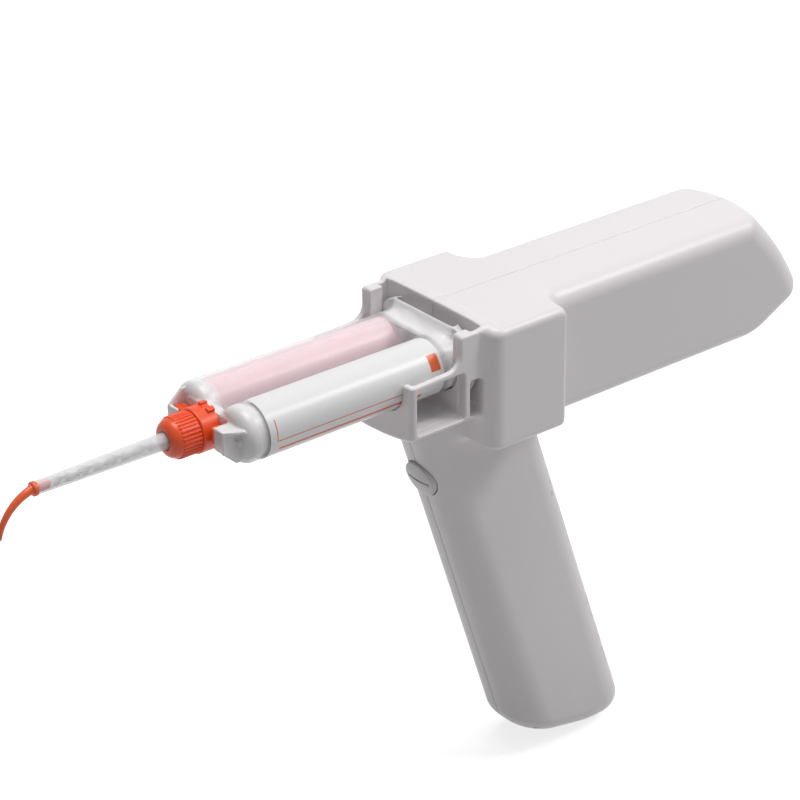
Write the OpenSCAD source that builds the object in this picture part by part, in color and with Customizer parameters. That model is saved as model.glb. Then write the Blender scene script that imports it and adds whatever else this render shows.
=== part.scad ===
// Cordless dispensing gun for two-part dental impression paste.
// It holds a twin-barrel cartridge in an open cradle and pushes both pistons
// with a motor-driven lead screw. The pastes mix in the static mixing tip.
// X runs along the drive axis with the tip towards -X, Y across, Z up.
// The origin is the cartridge seat: the head's front face, on the drive axis.

/* [Cartridge] */
// Outer diameter of one barrel
barrel_od = 21.2; // [20:0.1:22]
// Wall thickness of a barrel
barrel_wall = 1.1; // [0.8:0.1:1.4]
// Distance between the two barrel axes
barrel_pitch = 26; // [25:0.1:27]
// Length from the flange's back face to the barrels' front end
cartridge_len = 100; // [96:1:104]
// Thickness of the flange
flange_t = 2.8; // [2:0.1:3]
// Distance from the barrels' outermost points to the flange's side edges
flange_side = 2.9; // [2.6:0.1:3.2]
// Height of the flange
flange_h = 27; // [25:0.5:28]
// Thickness of the barrels' front wall
barrel_end = 1.6; // [1.2:0.1:2.2]
// Radius of the boss that the tip sits on
boss_r = 6.2; // [6:0.1:6.4]
// Length of that boss
boss_len = 6; // [5:0.5:7]
// Radius of each paste outlet in the boss
outlet_r = 1.3; // [1:0.1:1.5]
// Length of a retaining ear in front of the barrels
ear_len = 6.6; // [6:0.2:7.4]
// Wall thickness of a retaining ear
ear_wall = 1.3; // [1:0.1:1.6]
// Thickness of the label
label_t = 0.15; // [0.1:0.05:0.2]
// Length of a piston
piston_len = 8; // [6:0.5:9]

/* [Mixing tip] */
// Radius of the collar's plain rear part
collar_r = 8.5; // [8.4:0.1:9]
// Length of that part
collar_len = 7.6; // [7.4:0.1:9]
// Radius of the collar's ribbed front part, over its ribs
knurl_r = 8; // [7.9:0.1:8.3]
// Length of the ribbed part
knurl_len = 6.8; // [6:0.2:8]
// Number of grip ribs round the collar
knurl_count = 34; // [28:1:38]
// Length of the collar's domed nose
nose_len = 4.6; // [3.4:0.2:6]
// Wall thickness of the collar under its ribs
collar_wall = 0.7; // [0.6:0.1:0.9]
// Outer radius of the mixing tube at the collar
tube_r0 = 3.2; // [2.8:0.05:3.3]
// Outer radius of the mixing tube at its far end
tube_r1 = 2.4; // [2.2:0.05:2.5]
// Length of the mixing tube in front of the collar
tube_len = 52; // [46:0.5:56]
// Wall thickness of the mixing tube
tube_wall = 0.6; // [0.5:0.05:0.7]
// Number of half-turn blades in the static mixer
blade_count = 10; // [6:1:12]
// Radius of the bend in the intraoral spout
spout_bend_r = 19; // [18:0.5:23]
// Outer radius of the spout at its root
spout_r0 = 1.6; // [1.4:0.05:1.8]
// Outer radius of the spout at its mouth
spout_r1 = 0.95; // [0.85:0.05:1.1]

/* [Housing] */
// Wall thickness of the housing
wall = 2.4; // [2:0.1:2.8]
// Height of the top surface above the drive axis
top_z = 17.6; // [17:0.1:19]
// Depth of the head's underside below the drive axis
head_bottom = 33; // [32:0.5:34]
// Half width of the head
head_hw = 35.1; // [34.5:0.1:37]
// Length of the head
head_len = 36.8; // [34:0.2:40]
// Half width of the motor barrel behind the head
rear_hw = 24.3; // [24:0.1:26]
// Depth of the motor barrel's underside below the drive axis
rear_bottom = 35.5; // [35:0.5:37]
// Distance from the seat to the rear end of the top seam
rear_top_x = 152.5; // [150:0.5:160]
// Distance from the seat to the rearmost point
rear_tip_x = 180.5; // [178:0.5:186]
// How much the top surface falls from the seam to its sides
crown = 1.1; // [0.4:0.1:1.5]
// Radius of the motor barrel's upper shoulders
shoulder_r = 7.6; // [6:0.2:8]

/* [Cradle] */
// Length of the cradle in front of the seat
cradle_len = 33.8; // [32:0.2:36]
// Depth of the slot that takes the flange
slot_len = 4.4; // [4.2:0.1:5]
// Length of a post beside the flange, slot included
post_len = 10.6; // [10:0.1:12]
// Height of the post tops above the drive axis
post_top = 16.2; // [15:0.1:16.8]
// Height of the low wall above the drive axis at the front
rail_front = 2.7; // [2:0.1:3.4]
// Height of the low wall above the drive axis at the posts
rail_back = 3.8; // [3:0.1:4.6]
// Depth of the cradle's underside at its sides
cradle_side_z = 19.4; // [19:0.1:20.4]
// Depth of the cradle's underside in the middle
cradle_mid_z = 23; // [22:0.1:24]

/* [Grip] */
// Rearward lean of the grip from vertical, in degrees
grip_lean = 17.85; // [16:0.1:20]
// Depth of the grip front to back at the head
grip_d0 = 53.8; // [52:0.2:56]
// Depth of the grip at its base
grip_d1 = 57; // [56:0.2:60]
// Half width of the grip at the head
grip_hw0 = 14.4; // [14:0.1:15]
// Half width of the grip at its base
grip_hw1 = 17.1; // [16.6:0.1:18.4]
// Distance from the drive axis down to the front edge of the base
grip_bottom = 186; // [182:1:194]
// Slope of the base, lower at the rear, in degrees
base_slope = 11; // [8:0.5:13]
// Radius of the grip's corners at the head
grip_r = 11; // [10:0.5:12]
// Radius of the grip's corners at its base
base_r = 14.5; // [12:0.5:15.5]
// Rounding of the base edge
base_edge = 7.5; // [5:0.5:9]
// Distance from the drive axis down to the rocker button's centre
button_z = 55.3; // [52:0.5:60]
// Radius of the rocker button
button_r = 7.8; // [7.7:0.1:8.4]
// How far the button stands proud of the grip's front
button_proud = 1.9; // [1.4:0.1:2.2]
// Tilt of the rocker each way, in degrees
button_tilt = 4; // [3:0.5:4]

/* [Drive] */
// Travel of the push rods
travel = 88; // [80:1:88]
// Radius of a push rod
rod_r = 3; // [2.8:0.1:3.4]
// Thickness of a pusher disc
disc_t = 3.2; // [2.6:0.1:3.4]
// Radius of the lead screw
screw_r = 4; // [3.6:0.1:4.2]
// Thickness of the yoke that joins the push rods
yoke_t = 6; // [5:0.5:6]
// Radius of the gearbox
gearbox_r = 12; // [11:0.1:12.4]
// Length of the gearbox
gearbox_len = 17; // [15:0.5:18]
// Radius of the motor
motor_r = 10; // [9:0.1:10.2]
// Length of the motor
motor_len = 22; // [18:0.5:22]
// Radius of a battery cell
cell_r = 9.2; // [9:0.1:9.3]
// Length of a battery cell
cell_len = 65; // [60:1:66]

/* [Clearances] */
// Radial clearance of a running shaft or rod
run_gap = 0.06; // [0.04:0.01:0.09]
// Clearance of pieces that lift or turn past each other
free_gap = 0.4; // [0.3:0.05:0.5]

/* [Hidden] */
$fn = 64;
HULL_FN = 32;

shell_grey = "#e4e1e2";
steel = "#b9bcc0";
brass = "#c8a24a";
orange = "#ee5520";
board_green = "#2f6b45";
dark = "#3a3a3e";

half_pitch = barrel_pitch / 2;
barrel_r = barrel_od / 2;
bore_r = barrel_r - barrel_wall;
outer_y = half_pitch + barrel_r;
flange_hw = outer_y + flange_side;
seat_gap = 1.2;
flange_front = -seat_gap - flange_t;
barrel_front = -seat_gap - cartridge_len;
slot_hw = flange_hw + free_gap;
cradle_hw = slot_hw + wall;
lobe_r = barrel_r + free_gap + 0.1;
ledge_z = flange_h / 2 + 0.3;
eps = 0.02;

// A rounded outline: each corner gets its own radius, zero keeps it sharp
function unit(v) = v / norm(v);
function corner_arc(a, b, c, r, n) =
  let (
    u = unit(b - a),
    v = unit(c - b),
    turn = atan2(u[0] * v[1] - u[1] * v[0], u * v),
    t = r * tan(abs(turn) / 2),
    centre = b - u * t + sign(turn) * r * [-u[1], u[0]],
    s = b - u * t - centre
  )
  [for (i = [0 : n])
    let (q = turn * i / n)
    centre + [s[0] * cos(q) - s[1] * sin(q), s[0] * sin(q) + s[1] * cos(q)]];
function rounded(pts, radii, n = 8) =
  let (m = len(pts))
  [for (i = [0 : m - 1])
    each (radii[i] <= 0
      ? [pts[i]]
      : corner_arc(pts[(i + m - 1) % m], pts[i], pts[(i + 1) % m], radii[i], n))];

// Moves every edge of an anticlockwise outline inwards by d
function inset_corner(a, b, c, d) =
  let (
    u = unit(b - a),
    v = unit(c - b),
    p = [-u[1], u[0]],
    q = [-v[1], v[0]]
  )
  b + (p + q) * d / (1 + p * q);
function inset(pts, d) =
  let (m = len(pts))
  [for (i = [0 : m - 1]) inset_corner(pts[(i + m - 1) % m], pts[i], pts[(i + 1) % m], d)];

// Prisms along each axis from an outline in the other two
module along_x(x0, x1) {
  translate([x0, 0, 0]) rotate([90, 0, 90]) linear_extrude(x1 - x0) children();
}
module along_y(y0, y1) {
  translate([0, y1, 0]) rotate([90, 0, 0]) linear_extrude(y1 - y0) children();
}
// A cylinder along X
module rod_x(x0, x1, r, y = 0, z = 0) {
  translate([x0, y, z]) rotate([0, 90, 0]) cylinder(h = x1 - x0, r = r);
}
// A cylinder along Y
module rod_y(y0, y1, r, x = 0, z = 0) {
  translate([x, y1, z]) rotate([90, 0, 0]) cylinder(h = y1 - y0, r = r);
}
// A turned piece along X: its outline holds [distance ahead of x0, radius] points
module turned(x0, y = 0) {
  translate([x0, y, 0]) rotate([0, -90, 0]) rotate_extrude() children();
}
module block(x0, x1, y0, y1, z0, z1) {
  translate([x0, y0, z0]) cube([x1 - x0, y1 - y0, z1 - z0]);
}

// Motor barrel and head
head_r = 3;
head_front_r = 6;
rear_low_x = 150;
rear_tip_z = -20;
rear_lean = atan2(rear_tip_x - rear_top_x, top_z - rear_tip_z);
rear_crown_r = 57;
rear_x0 = 20;
rear_crown_x0 = 110;

// Cross-section with a slightly crowned top
function crowned(hw, low, top, fall) =
  [[-hw, low], [hw, low], [hw, top - fall], [hw / 3, top - fall * 0.12],
   [-hw / 3, top - fall * 0.12], [-hw, top - fall]];
module crowned_outline(hw, low, top, r_top, r_low, d = 0) {
  polygon(rounded(inset(crowned(hw, low, top, crown), d),
    [max(r_low - d, 0.4), max(r_low - d, 0.4), max(r_top - d, 0.4), 0, 0, max(r_top - d, 0.4)]));
}
rear_bulge = 1;
rear_side = [
  [rear_x0, -rear_bottom], [rear_low_x, -rear_bottom], [rear_tip_x, rear_tip_z],
  [(rear_tip_x + rear_top_x) / 2 + rear_bulge, (rear_tip_z + top_z) / 2 + rear_bulge * 0.7],
  [rear_top_x, top_z], [rear_x0, top_z]
];
module rear_barrel(d = 0) {
  intersection() {
    along_x(rear_x0, rear_tip_x + 1)
      crowned_outline(rear_hw, -rear_bottom, top_z, shoulder_r, 6, d);
    along_y(-rear_hw, rear_hw) polygon(rounded(inset(rear_side, d), [0, 26, 8, 0, 4, 0]));
    union() {
      block(rear_x0 - 1, rear_crown_x0, -rear_hw, rear_hw, -rear_bottom, top_z);
      translate([rear_tip_x, 0, rear_tip_z]) rotate([0, -rear_lean, 0])
        translate([-rear_crown_r - d, 0, -60]) cylinder(h = 140, r = rear_crown_r, $fn = 160);
    }
  }
}
module head_block(d = 0) {
  intersection() {
    along_x(d, head_len - d)
      crowned_outline(head_hw, -head_bottom, top_z, head_r, head_r, d);
    along_y(-head_hw, head_hw) polygon(rounded(
      inset([[0, -head_bottom], [head_len, -head_bottom], [head_len, top_z], [0, top_z]], d),
      [head_r, head_r, head_r, 0.6]));
    translate([0, 0, -head_bottom]) linear_extrude(head_bottom + top_z) polygon(rounded(
      inset([[0, -head_hw], [head_len, -head_hw], [head_len, head_hw], [0, head_hw]], d),
      [head_front_r, head_r, head_r, head_front_r]));
  }
}

// Grip: the front line passes through grip_x0 on the drive axis
grip_x0 = -23.7;
grip_top_z = -20.2;
function grip_x(z) = grip_x0 - z * tan(grip_lean);
function grip_ring(d, hw, r, cut) = rounded(
  [[cut, -hw + cut], [d - cut, -hw + cut], [d - cut, hw - cut], [cut, hw - cut]],
  [for (i = [0 : 3]) max(r - cut, 1)]);
base_d = grip_d1 / (cos(base_slope) - sin(base_slope) * tan(grip_lean));
// One slice of the grip, up along its lean from the base's front edge
module base_slice(up, cut) {
  translate([grip_x(-grip_bottom), 0, -grip_bottom])
    rotate([0, -grip_lean, 0]) translate([0, 0, up]) rotate([0, grip_lean, 0])
      rotate([0, base_slope, 0]) linear_extrude(eps) polygon(grip_ring(base_d, grip_hw1, base_r, cut));
}
module grip_body(d = 0) {
  hull() {
    translate([grip_x(grip_top_z), 0, grip_top_z - d * 1.8])
      linear_extrude(eps) polygon(grip_ring(grip_d0, grip_hw0, grip_r, d));
    base_slice(base_edge, d);
    base_slice(max(base_edge * 0.3, d), max(base_edge * 0.3, d));
    base_slice(d, base_edge);
  }
}

// Frames on the grip: along its lean, and square to its front
module in_grip(z, depth) {
  translate([grip_x(z) + depth, 0, z]) rotate([0, -grip_lean, 0]) children();
}
module on_front(z) {
  translate([grip_x(z), 0, z]) rotate([0, -90 - grip_lean, 0]) children();
}

// Cradle: front plate, floor, side rails, ribs and the two posts
post_fillet = 5.5;
front_plate = 2.4;
rib_front = -8.4;
rib_back = -6.05;
window_low = -17.6;
window_top_gap = 2.7;
cradle_floor = -17.2;
floor_r = (pow(cradle_hw, 2) + pow(cradle_mid_z - cradle_side_z, 2))
  / (2 * (cradle_mid_z - cradle_side_z));
module cradle_section() {
  intersection() {
    translate([-cradle_hw, -cradle_mid_z]) square([2 * cradle_hw, cradle_mid_z + post_top]);
    translate([0, floor_r - cradle_mid_z]) circle(r = floor_r, $fn = 240);
  }
}
// Side view of what stays of the cradle: low rails, then a concave sweep to the posts
module cradle_side() {
  polygon([
    [0.5, -cradle_mid_z - 1], [0.5, post_top], [-post_len + 1, post_top],
    [-post_len, post_top - 1],
    each [for (i = [0 : 6])
      let (q = 90 * i / 6)
      [-post_len - post_fillet * (1 - cos(q)), rail_back + post_fillet * (1 - sin(q))]],
    [-cradle_len, rail_front], [-cradle_len, -cradle_mid_z - 1]
  ]);
}
module lobes(r) {
  for (s = [-1, 1]) translate([s * half_pitch, 0]) circle(r = r);
  translate([-half_pitch, -r]) square([barrel_pitch, r]);
  translate([-half_pitch - r, 0]) square([barrel_pitch + 2 * r, top_z * 2]);
}
module cradle_outer() {
  intersection() {
    along_x(-cradle_len, 0.5) cradle_section();
    along_y(-cradle_hw, cradle_hw) cradle_side();
    translate([0, 0, -cradle_mid_z - 1]) linear_extrude(cradle_mid_z + post_top + 2)
      polygon(rounded([[-cradle_len, -cradle_hw], [1, -cradle_hw], [1, cradle_hw],
        [-cradle_len, cradle_hw]], [2, 0, 0, 2]));
  }
}
module cradle_room() {
  block(-cradle_len + front_plate, rib_front, -slot_hw, slot_hw, cradle_floor, rail_front - 1);
  block(-cradle_len + front_plate, -post_len, -slot_hw, slot_hw, 0, top_z);
  block(-slot_len, 0, -slot_hw, slot_hw, -ledge_z, top_z);
  along_x(-cradle_len - 1, 0) lobes(lobe_r);
}
module cradle_windows() {
  for (s = [-1, 1]) {
    along_y(s * (cradle_hw - wall / 2) - wall, s * (cradle_hw - wall / 2) + wall)
      polygon(rounded([
        [-cradle_len + front_plate + 0.4, window_low], [rib_front, window_low],
        [rib_front, rail_back - window_top_gap], [-cradle_len + front_plate + 0.4, rail_front - window_top_gap]],
        [2, 2, 2, 2], 5));
    along_y(s * (cradle_hw - 3) - 4, s * (cradle_hw - 3) + 4)
      polygon(rounded([[rib_back, window_low - 0.4], [-0.6, window_low - 0.4],
        [-0.6, -2.4], [rib_back, -3.4]], [1.2, 1.2, 1.2, 1.2], 4));
  }
}

// Screws that join the halves: [x, z, half width of the housing there]
screw_shank_r = 1.25;
screw_head_r = 2.4;
screw_head_h = 2;
boss_wall_r = 3.4;
grip_boss_depth = 7.4;
grip_screw_sink = 2.8;
function grip_hw(z) = grip_hw0 + (grip_hw1 - grip_hw0) * (grip_top_z - z) / (grip_top_z + grip_bottom);
rear_screws = [[46, -rear_bottom + 8.5], [132, -rear_bottom + 8.5], [rear_tip_x - 20, -12]];
head_screw = [head_len - 7, top_z - 5.4];
grip_screws = [[grip_boss_depth, -88], [grip_boss_depth, -grip_bottom + 17], [grip_d0 - 8, -62]];
screws = [
  [head_screw[0], head_screw[1], head_hw],
  for (s = rear_screws) [s[0], s[1], rear_hw],
  for (s = grip_screws) [grip_x(s[1]) + s[0], s[1], grip_hw(s[1]) - grip_screw_sink]
];
head_sink = 1.6;

// Places along the drive, from the seat backwards
disc_r = bore_r - 0.5;
disc_front = -seat_gap / 2;
guide_front = 4;
guide_t = 5;
guide_back = guide_front + guide_t;
yoke_hh = 8.5;
yoke_front = guide_back + 0.5 + travel;
yoke_back = yoke_front + yoke_t;
coupling_front = yoke_back + 1.4;
coupling_len = 6;
bracket_front = coupling_front + coupling_len + 1;
bracket_t = 2.5;
gearbox_front = bracket_front + bracket_t;
motor_front = gearbox_front + gearbox_len;
motor_back = motor_front + motor_len;
guide_hw = head_hw - wall - 2.2;
guide_top = top_z - wall - crown - 0.2;
guide_low = -14;
bracket_hw = rear_hw - wall - 0.2;
bracket_top = 12.6;
journal_r = 2.5;

// Button and switches, measured in from the grip's front line
button_hole_r = button_r + 0.45;
button_back = 5;
pivot_depth = 2.6;
pivot_r = 1;
lug_hw = 3.6;
ear_t = 1.6;
web_depth = 7.2;
cap_wall = 1.4;
switch_x = 6;
switch_size = 6;
switch_h = 3.5;
nub_h = 0.8;
post_tip = button_back + 1.5;
nub_top = post_tip + 0.55;
board_top = nub_top + nub_h + switch_h;
board_t = 1.6;
board_len = 25;
board_w = 2 * grip_hw0 - 9;

// Battery and charging socket
cell_z = -grip_bottom + 24;
cell_gap = 0.1;
cell_front_depth = grip_boss_depth + boss_wall_r + 0.8;
holder_wall = 0.8;
holder_end = 2.4;
contact_t = 0.6;
contact_w = 0.87 * cell_r;
cap_h = 1.4;
cell_lean_pitch = 2 * cell_r + cell_gap;
socket_w = 9;
socket_h = 3.4;
socket_len = 7;
socket_depth = grip_d1 / 2;

// Control board
ctrl_x0 = 52;
ctrl_x1 = 108;
ctrl_hw = 16;
ctrl_z = -22;
ctrl_posts = [[ctrl_x0 + 4, -12.5], [ctrl_x0 + 4, 12.5], [ctrl_x1 - 4, -12.5], [ctrl_x1 - 4, 12.5]];

module housing() {
  difference() {
    union() {
      difference() {
        union() {
          rear_barrel();
          head_block();
          grip_body();
        }
        rear_barrel(wall);
        head_block(wall);
        grip_body(wall);
        // Way through from the head into the motor barrel
        along_x(head_len - wall - 1, head_len + 1)
          crowned_outline(rear_hw, -rear_bottom + 2, top_z, shoulder_r, 6, wall);
      }
      difference() {
        cradle_outer();
        cradle_room();
        cradle_windows();
      }
      // Pads that hold the rod guide and the motor bracket
      for (s = [-1, 1]) {
        block(wall - eps, guide_front - 0.1, s * 29 - 3, s * 29 + 3, guide_low + 2, guide_top - 2);
        block(guide_back + 0.1, guide_back + 1.6, s * (head_hw - 3.4) - 3, s * (head_hw - 3.4) + 3,
          guide_low, guide_top - 2);
        block(bracket_front - 1.6, bracket_front - 0.1, s * (rear_hw - 3) - 2, s * (rear_hw - 3) + 2, -9, 9);
        block(gearbox_front + 0.1, gearbox_front + 1.6, s * (rear_hw - 3) - 2, s * (rear_hw - 3) + 2, -9, 9);
      }
      for (s = [-1, 1])
        block(guide_front - 1, guide_back + 1, s * 23 - 4, s * 23 + 4, -head_bottom + 1, guide_low - 0.1);
      // Saddle under the motor
      difference() {
        block(motor_front + 6, motor_front + 12, -10, 10, -rear_bottom + 1, -4);
        rod_x(motor_front + 5, motor_front + 13, motor_r + 0.15);
      }
      // Screw bosses
      intersection() {
        for (s = screws) rod_y(-s[2] - 2, s[2] + 2, boss_wall_r, s[0], s[1]);
        union() {
          head_block(0.5);
          rear_barrel(0.5);
          grip_body(0.5);
        }
      }
      // Control board posts
      for (p = ctrl_posts) translate([p[0], p[1], -rear_bottom + 1])
        cylinder(h = ctrl_z + rear_bottom - 1, r = 2.4);
      // Clips for the switch board and a ledge under the battery holder
      intersection() {
        union() {
          on_front(-button_z) for (s = [-1, 1]) translate([s * 11.6, 0, -board_top - board_t / 2])
            cube([3, 2 * grip_hw1, 4], center = true);
          in_grip(cell_z, cell_front_depth)
            block(-4, 2 * cell_lean_pitch + 8, -grip_hw1, grip_hw1, -7, -contact_t - holder_end - 0.2);
        }
        grip_body(0.5);
      }
    }
    for (s = [-1, 1]) rod_x(-1, wall + 1, disc_r + 0.6, s * half_pitch);
    // Screw holes with sunk heads on the right side
    for (s = screws) {
      rod_y(-min(s[2] - 4, 14), s[2], screw_shank_r + 0.05, s[0], s[1]);
      rod_y(s[2] - head_sink - screw_head_h, s[2] + 4, screw_head_r + 0.2, s[0], s[1]);
    }
    for (p = ctrl_posts) translate([p[0], p[1], ctrl_z - 7]) cylinder(h = 8, r = 1.1);
    on_front(-button_z) {
      translate([0, 0, -button_back - 0.6]) cylinder(h = 20, r = button_hole_r);
      translate([0, 0, -board_top - board_t / 2])
        cube([board_len + 0.2, board_w + 0.2, board_t + 0.1], center = true);
      translate([0, 0, -board_top - board_t / 2]) cube([16, board_w - 1, 12], center = true);
    }
    // Opening for the charging socket in the base
    socket_place() translate([0, 0, -10])
      linear_extrude(socket_len + 14) socket_outline(0.2);
  }
}

// Ears inside the rocker cap, which carry its pin, on a web behind the cap
module rocker_ears() {
  intersection() {
    on_front(-button_z) difference() {
      for (s = [-1, 1]) {
        translate([0, s * (lug_hw + free_gap + ear_t / 2), -(pivot_depth + web_depth) / 2 + 0.3])
          cube([4.6, ear_t, web_depth - pivot_depth + 4.2], center = true);
        translate([0, s * (lug_hw + free_gap + 6), -web_depth]) cube([4.6, 12, 2], center = true);
      }
      translate([0, 0, -pivot_depth]) rotate([90, 0, 0])
        cylinder(h = 4 * lug_hw, r = pivot_r, center = true);
    }
    grip_body(0.5);
  }
}

module socket_place() {
  translate([grip_x(-grip_bottom), 0, -grip_bottom]) rotate([0, base_slope, 0])
    translate([socket_depth, 0, 0]) children();
}
module socket_outline(extra) {
  side = (socket_w - socket_h) / 2;
  for (s = [-1, 1]) translate([0, s * side]) circle(r = socket_h / 2 + extra);
  square([socket_h + 2 * extra, 2 * side], center = true);
}

big = 500;
module housing_left() {
  color(shell_grey) intersection() {
    union() {
      housing();
      rocker_ears();
    }
    block(-big, big, -big, 0, -big, big);
  }
}
module housing_right() {
  color(shell_grey) intersection() {
    union() {
      housing();
      rocker_ears();
    }
    block(-big, big, 0, big, -big, big);
  }
}
module housing_screws() {
  color(steel) for (s = screws) {
    rod_y(-min(s[2] - 5, 12), s[2] - head_sink - screw_head_h + eps, screw_shank_r, s[0], s[1]);
    difference() {
      rod_y(s[2] - head_sink - screw_head_h, s[2] - head_sink, screw_head_r, s[0], s[1]);
      for (q = [0, 90]) translate([s[0], s[2] - head_sink, s[1]]) rotate([0, q, 0])
        cube([3.2, 2, 0.8], center = true);
    }
  }
}

// Rocker: a round cap split by a groove, on a cross pin
module rocker_button() {
  color(shell_grey) on_front(-button_z) difference() {
    union() {
      difference() {
        intersection() {
          translate([0, 0, -button_back]) cylinder(h = button_back + button_proud, r = button_r);
          translate([0, 0, button_proud - 60]) sphere(r = 60, $fn = 160);
        }
        translate([0, 0, -button_back - 1]) cylinder(h = button_back + 0.8, r = button_r - cap_wall);
      }
      translate([-2.5, -lug_hw, -pivot_depth - 2.1])
        cube([5, 2 * lug_hw, pivot_depth + 2.1 + button_proud - 0.5]);
      for (s = [-1, 1]) translate([s * switch_x, 0, -post_tip])
        cylinder(h = post_tip + button_proud - 0.8, r = 1.5);
    }
    translate([0, 0, -pivot_depth]) rotate([90, 0, 0])
      cylinder(h = 3 * lug_hw, r = pivot_r + run_gap, center = true);
    translate([0, 0, button_proud]) cube([0.9, 2 * button_r - 3.4, 1.2], center = true);
  }
}
module rocker_pin() {
  color(steel) on_front(-button_z) translate([0, 0, -pivot_depth]) rotate([90, 0, 0])
    cylinder(h = 2 * (lug_hw + free_gap + ear_t), r = pivot_r, center = true);
}
module switch_board() {
  color(board_green) on_front(-button_z) translate([0, 0, -board_top - board_t / 2])
    cube([board_len, board_w, board_t], center = true);
}
module push_switch(s) {
  on_front(-button_z) translate([s * switch_x, 0, 0]) {
    translate([0, 0, -board_top + switch_h / 2]) cube([switch_size, switch_size, switch_h], center = true);
    translate([0, 0, -board_top + switch_h - eps]) cylinder(h = nub_h + eps, r = 1.6);
  }
}
module forward_switch() { color(dark) push_switch(1); }
module reverse_switch() { color(dark) push_switch(-1); }

// Drive train
module rod_guide() {
  color("#5b5f66") difference() {
    along_x(guide_front, guide_back) polygon(rounded([
      [-guide_hw, guide_low], [guide_hw, guide_low], [guide_hw, guide_top - 1], [-guide_hw, guide_top - 1]],
      [3, 3, 3, 3], 5));
    for (s = [-1, 1]) rod_x(guide_front - 1, guide_back + 1, rod_r + run_gap, s * half_pitch);
    rod_x(guide_front - 1, guide_back + 1, journal_r + run_gap);
  }
}
module lead_screw() {
  color(steel) {
    rod_x(guide_front, guide_back + 0.3 + eps, journal_r);
    rod_x(guide_back + 0.3, coupling_front + eps, screw_r);
    rod_x(coupling_front, coupling_front + 2.8, journal_r);
  }
}
module shaft_coupling() {
  color("#8d9299") difference() {
    rod_x(coupling_front, coupling_front + coupling_len, 6);
    rod_x(coupling_front - 1, coupling_front + coupling_len + 1, journal_r);
  }
}
module output_shaft() {
  color(steel) rod_x(coupling_front + 3.2, gearbox_front + 4, journal_r);
}
module thrust_bearing() {
  color(steel) difference() {
    rod_x(bracket_front + 0.1, gearbox_front, 6.5);
    rod_x(bracket_front - 1, gearbox_front + 1, journal_r + run_gap);
  }
}
module drive_yoke() {
  color("#74787f") difference() {
    along_x(yoke_front, yoke_back) polygon(rounded([
      [-half_pitch - 6, -yoke_hh], [half_pitch + 6, -yoke_hh],
      [half_pitch + 6, yoke_hh], [-half_pitch - 6, yoke_hh]],
      [4, 4, 4, 4], 6));
    for (s = [-1, 1]) rod_x(yoke_front - 1, yoke_back + 1, rod_r, s * half_pitch);
    rod_x(yoke_front - 1, yoke_back + 1, 6.5);
  }
}
module drive_nut() {
  color(brass) difference() {
    union() {
      rod_x(yoke_front, yoke_back, 6.5);
      rod_x(yoke_back, yoke_back + 1, 7.6);
    }
    rod_x(yoke_front - 1, yoke_back + 2, screw_r + run_gap);
  }
}
module push_rod(s) { rod_x(disc_front + disc_t - 1.4, yoke_back, rod_r, s * half_pitch); }
module push_rod_left() { color(steel) push_rod(-1); }
module push_rod_right() { color(steel) push_rod(1); }
module pusher_disc(s) {
  difference() {
    translate([disc_front, s * half_pitch, 0]) rotate([0, 90, 0]) {
      cylinder(h = 0.8, r1 = disc_r - 0.8, r2 = disc_r);
      translate([0, 0, 0.8]) cylinder(h = disc_t - 0.8, r = disc_r);
    }
    rod_x(disc_front + disc_t - 1.4, disc_front + disc_t + 1, rod_r, s * half_pitch);
  }
}
module pusher_disc_left() { color("#9aa0a6") pusher_disc(-1); }
module pusher_disc_right() { color("#9aa0a6") pusher_disc(1); }
module yoke_nuts() {
  color(steel) for (s = [-1, 1]) translate([yoke_back, s * half_pitch, 0]) rotate([0, 90, 0])
    cylinder(h = 1, r = 4.6, $fn = 6);
}
module motor_bracket() {
  color("#74787f") difference() {
    along_x(bracket_front, gearbox_front) polygon(rounded([
      [-bracket_hw, -bracket_top], [bracket_hw, -bracket_top],
      [bracket_hw, bracket_top], [-bracket_hw, bracket_top]], [3, 3, 3, 3], 5));
    rod_x(bracket_front - 1, gearbox_front + 1, 6.5);
    for (s = [-1, 1]) rod_x(bracket_front - 1, gearbox_front + 1, 1.5, 0, s * 9.3);
  }
}
module gearbox() {
  color("#8d9299") difference() {
    rod_x(gearbox_front, motor_front, gearbox_r);
    rod_x(gearbox_front - 1, gearbox_front + 5, journal_r + run_gap);
    for (s = [-1, 1]) rod_x(gearbox_front - 1, gearbox_front + 5, 1.5, 0, s * 9.3);
  }
}
module motor() {
  color("#a5a9ae") {
    rod_x(motor_front, motor_back - 2, motor_r);
    rod_x(motor_back - 2, motor_back, motor_r - 2.5);
  }
}
module motor_screws() {
  color(steel) for (s = [-1, 1]) {
    rod_x(bracket_front - 1.4, bracket_front, 2.5, 0, s * 9.3);
    rod_x(bracket_front - eps, gearbox_front + 4.5, 1.5, 0, s * 9.3);
  }
}

// Electronics
module control_board() {
  color(board_green) difference() {
    block(ctrl_x0, ctrl_x1, -ctrl_hw, ctrl_hw, ctrl_z, ctrl_z + board_t);
    for (p = ctrl_posts) translate([p[0], p[1], ctrl_z - 1]) cylinder(h = 4, r = 1.25);
  }
}
module board_parts() {
  z = ctrl_z + board_t;
  len = ctrl_x1 - ctrl_x0;
  w = ctrl_hw;
  color(dark) translate([ctrl_x0, 0, 0]) {
    // Processor, two motor switches, plug and two capacitors
    block(0.22 * len, 0.34 * len, -w / 4, w / 4, z, z + 1.6);
    for (side = [-1, 1]) block(0.47 * len, 0.56 * len, side * 0.4 * w - 2.5, side * 0.4 * w + 2.5, z, z + 1.2);
    block(0.02 * len, 0.13 * len, -0.37 * w, 0.37 * w, z, z + 5);
    for (side = [-1, 1]) translate([0.66 * len, side * 0.69 * w, z]) cylinder(h = 6, r = 3.1);
  }
}
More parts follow.
